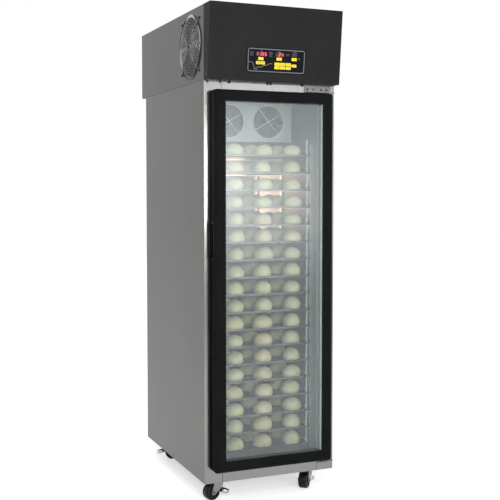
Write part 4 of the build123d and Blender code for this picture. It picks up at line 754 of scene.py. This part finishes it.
SHROUD_SIDES, SHROUD_INNER, SHROUD_OUTER = 64, 0.1405, 0.1420
SHROUD_NEAR, SHROUD_FAR = -0.0028, -0.1040
SHROUD_LOOPS = ((SHROUD_NEAR, SHROUD_INNER), (SHROUD_FAR, SHROUD_INNER),
                (SHROUD_FAR, SHROUD_OUTER), (SHROUD_NEAR, SHROUD_OUTER))
shroud = Form()
for out, reach in SHROUD_LOOPS:
    shroud.verts += [at_fan(out, reach, 360 * i / SHROUD_SIDES) for i in range(SHROUD_SIDES)]
shroud.skin(0, SHROUD_SIDES, len(SHROUD_LOOPS), closed=True)
shroud.build("condenser_fan_shroud", "gap", "cabinet", "fan_plastic", True)

# Seams beside the stiles, shown below and above the door, and notches in the top edge
STILE_SEAMS, SEAM_HALF, SEAM_PROUD, SEAM_SUNK = (-0.2220, 0.2340), 0.0006, 0.0003, 0.0006
SEAM_SPANS = ((BASE + 0.001, DOOR_LOW + 0.02), (DOOR_HIGH - 0.02, SEAM - 0.001))
NOTCHES = ((-0.287, 0.00352), (-0.230, 0.00352), (-0.189, 0.0056), (-0.010, 0.00352),
           (0.005, 0.00352), (0.157, 0.0048))
NOTCH_PROUD, NOTCH_SUNK, NOTCH_LOW, NOTCH_HIGH = 0.0040, 0.0004, SEAM - 0.0090, SEAM - 0.0012
seams = Form()
for x in STILE_SEAMS:
    for low, high in SEAM_SPANS:
        corner = (x + SEAM_HALF, FRONT + SEAM_SUNK, high)
        seams.box((x - SEAM_HALF, FRONT - SEAM_PROUD, low), corner)
for x, half in NOTCHES:
    corner = (x + half, FRONT + NOTCH_SUNK, NOTCH_HIGH)
    seams.box((x - half, FRONT - NOTCH_PROUD, NOTCH_LOW), corner)
seams.build("seams_and_notches", "gap", "cabinet", "screw_dark")

# Screws in the fascia's left flange
FLANGE_SCREWS, FLANGE_SCREW_RADIUS = ((-0.4670, 1.9499), (-0.4630, 1.8470)), 0.0034
FLANGE_SCREW_SUNK, FLANGE_SCREW_PROUD = LEFT + 0.0006, LEFT - 0.0016
screws = Form()
for y, z in FLANGE_SCREWS:
    foot, head = (FLANGE_SCREW_SUNK, y, z), (FLANGE_SCREW_PROUD, y, z)
    screws.rod(foot, head, FLANGE_SCREW_RADIUS, 16)
screws.build("flange_screws", "gap", "cabinet", "screw_dark")

# Pale strips on the hinge side edges of the two panes, painted highlights for the light that the
# glass edges catch, and the dark seal round the outer pane
PANE_EDGE_X, PANE_EDGE_W, PANE_EDGE_GAP = OPEN_RIGHT - 0.0044, 0.0006, 0.001
PANES = ((-0.4652, -0.4468), (-0.4412, -0.4302))
pane_edge_highlights = Form()
for near, far in PANES:
    corner = (PANE_EDGE_X + PANE_EDGE_W, far, OPEN_HIGH - PANE_EDGE_GAP)
    pane_edge_highlights.box((PANE_EDGE_X, near, OPEN_LOW + PANE_EDGE_GAP), corner)
pane_edge_highlights.build("pale_painted_highlight", "pale_highlight", "door", "pale_trim")

SEAL_LIP, SEAL_RIGHT, SEAL_TOP = 0.0032, 0.00128, 0.00192
SEAL_NEAR, SEAL_FAR = -0.4749, -0.4703
seal = Form()
for x0, z0, x1, z1 in ((OPEN_LEFT, OPEN_LOW, OPEN_LEFT + SEAL_LIP, OPEN_HIGH),
                       (OPEN_RIGHT - SEAL_RIGHT, OPEN_LOW, OPEN_RIGHT, OPEN_HIGH),
                       (OPEN_LEFT, OPEN_LOW, OPEN_RIGHT, OPEN_LOW + SEAL_LIP),
                       (OPEN_LEFT, OPEN_HIGH - SEAL_TOP, OPEN_RIGHT, OPEN_HIGH)):
    seal.box((x0, SEAL_NEAR, z0), (x1, SEAL_FAR, z1))
seal.build("glass_seal", "handle", "door", "seal")

# Salmon pads at the ends of the right runners, painted warm glints, and pale faces on the front
# uprights, painted highlights
GLINT_LOW, GLINT_HIGH = (0.2216, -0.3236, 0.0235), (0.2276, -0.3224, 0.0290)
UPRIGHT_XS, UPRIGHT_W, UPRIGHT_NEAR, UPRIGHT_FAR = (-0.2232, 0.2272), 0.0080, -0.3232, -0.3222
UPRIGHT_FOOT, UPRIGHT_HEAD = 0.0110, TRAY_PITCH - 0.0010
runner_glints, upright_highlights = Form(), Form()
for z in TRAY_LEVELS:
    runner_glints.box((*GLINT_LOW[:2], z + GLINT_LOW[2]), (*GLINT_HIGH[:2], z + GLINT_HIGH[2]))
    for x in UPRIGHT_XS:
        corner = (x + UPRIGHT_W, UPRIGHT_FAR, z + UPRIGHT_HEAD)
        upright_highlights.box((x, UPRIGHT_NEAR, z + UPRIGHT_FOOT), corner)
runner_glints.build("runner_painted_glints", "warm_glint", "cabinet", "rack_steel")
upright_highlights.build("upright_painted_highlights", "pale_highlight", "cabinet", "rack_steel")

# Stage: floor, world, lamps and camera
FLOOR_HALF, FLOOR_COLOUR, FLOOR_GLOW = 14.0, (0.86, 0.86, 0.86, 1), 0.55
WORLD_LOW, WORLD_HIGH = 0.55, 1.0
WHITE_RAYS = ("Is Camera Ray", "Is Glossy Ray", "Is Transmission Ray")


def white_for_rays(tree):
    """A value that is 1 for rays that should see the white background."""
    path = tree.nodes.new("ShaderNodeLightPath")
    value = path.outputs[WHITE_RAYS[0]]
    for ray in WHITE_RAYS[1:]:
        larger = tree.nodes.new("ShaderNodeMath")
        larger.operation = "MAXIMUM"
        tree.links.new(value, larger.inputs[0])
        tree.links.new(path.outputs[ray], larger.inputs[1])
        value = larger.outputs[0]
    return value


floor_mesh = bpy.data.meshes.new("floor")
floor_corners = [(x * FLOOR_HALF, y * FLOOR_HALF, 0)
                 for x, y in ((-1, -1), (1, -1), (1, 1), (-1, 1))]
floor_mesh.from_pydata(floor_corners, [], [(0, 1, 2, 3)])
floor = bpy.data.objects.new("floor", floor_mesh)
bpy.context.scene.collection.objects.link(floor)
floor_shader = Shader("floor_pale")
floor_shader.bsdf.inputs["Base Color"].default_value = FLOOR_COLOUR
floor_shader.bsdf.inputs["Roughness"].default_value = 0.9
floor_shader.bsdf.inputs["Emission Color"].default_value = (1, 1, 1, 1)
lift = floor_shader.add("ShaderNodeMath", operation="MULTIPLY")
lift.inputs[1].default_value = FLOOR_GLOW
floor_shader.link(white_for_rays(floor_shader.tree), lift.inputs[0])
floor_shader.link(lift.outputs[0], floor_shader.bsdf.inputs["Emission Strength"])
floor_mesh.materials.append(floor_shader.mat)

world = bpy.data.worlds.new("studio")
bpy.context.scene.world = world
world.use_nodes = True
tree = world.node_tree
background = tree.nodes["Background"]
background.inputs["Color"].default_value = (1, 1, 1, 1)
strength = tree.nodes.new("ShaderNodeMapRange")
strength.inputs["To Min"].default_value = WORLD_LOW
strength.inputs["To Max"].default_value = WORLD_HIGH
tree.links.new(white_for_rays(tree), strength.inputs["Value"])
tree.links.new(strength.outputs["Result"], background.inputs["Strength"])


def softbox(name, place, target, width, height, power, colour=(1, 1, 1)):
    data = bpy.data.lights.new(name, "AREA")
    data.shape = "RECTANGLE"
    data.size, data.size_y = width, height
    data.energy = power
    data.color = colour
    lamp = bpy.data.objects.new(name, data)
    lamp.location = place
    lamp.rotation_euler = (Vector(target) - Vector(place)).to_track_quat("-Z", "Y").to_euler()
    bpy.context.scene.collection.objects.link(lamp)
    return lamp


# Name, place, target, width, height and power of each studio lamp
LAMPS = (
    ("lamp_front", (-0.7, -4.3, 1.8), (0.0, -0.4, 1.0), 1.2, 1.2, 50),
    ("lamp_top", (-0.6, -0.8, 4.2), (0, 0, 1.0), 2.4, 2.4, 32),
    ("lamp_left", (-2.4, -3.3, 3.2), (0.0, -0.3, 1.3), 1.0, 1.0, 30),
    ("lamp_right", (1.62, -4.25, 1.30), (-0.05, -0.42, 1.3), 1.0, 1.0, 12),
    ("lamp_strip", (0.92, -4.25, 1.48), (-0.29, -0.42, 1.42), 0.20, 0.66, 17),
    ("lamp_rail", (1.65, -4.25, 2.26), (0.0, -0.42, 1.80), 1.2, 0.16, 3),
)
for lamp in LAMPS:
    softbox(*lamp)

# Warm lamp at the rear of the chamber, for the glints behind the trays
WARM = (1.0, 0.60, 0.40)
warm = softbox("lamp_warm", (0.02, 0.370, 1.31), (0.02, -0.4, 1.31), 0.40, 0.34, 2.6, WARM)
warm.visible_camera = False

# Camera at the photograph's viewpoint
CAMERA_PLACE, CAMERA_DIP, CAMERA_TURN = (-1.6700, -4.1793, 1.36494), 2.858, -22.776
camera_data = bpy.data.cameras.new("camera")
camera_data.sensor_width = 36.0
camera_data.lens = 67.66
camera_data.shift_y = -0.03
camera_data.clip_end = 60
camera = bpy.data.objects.new("camera", camera_data)
camera.location = CAMERA_PLACE
camera.rotation_euler = Euler((math.radians(90 - CAMERA_DIP), 0, math.radians(CAMERA_TURN)), "XYZ")
bpy.context.scene.collection.objects.link(camera)
bpy.context.scene.camera = camera
bpy.context.scene.view_settings.view_transform = "Standard"
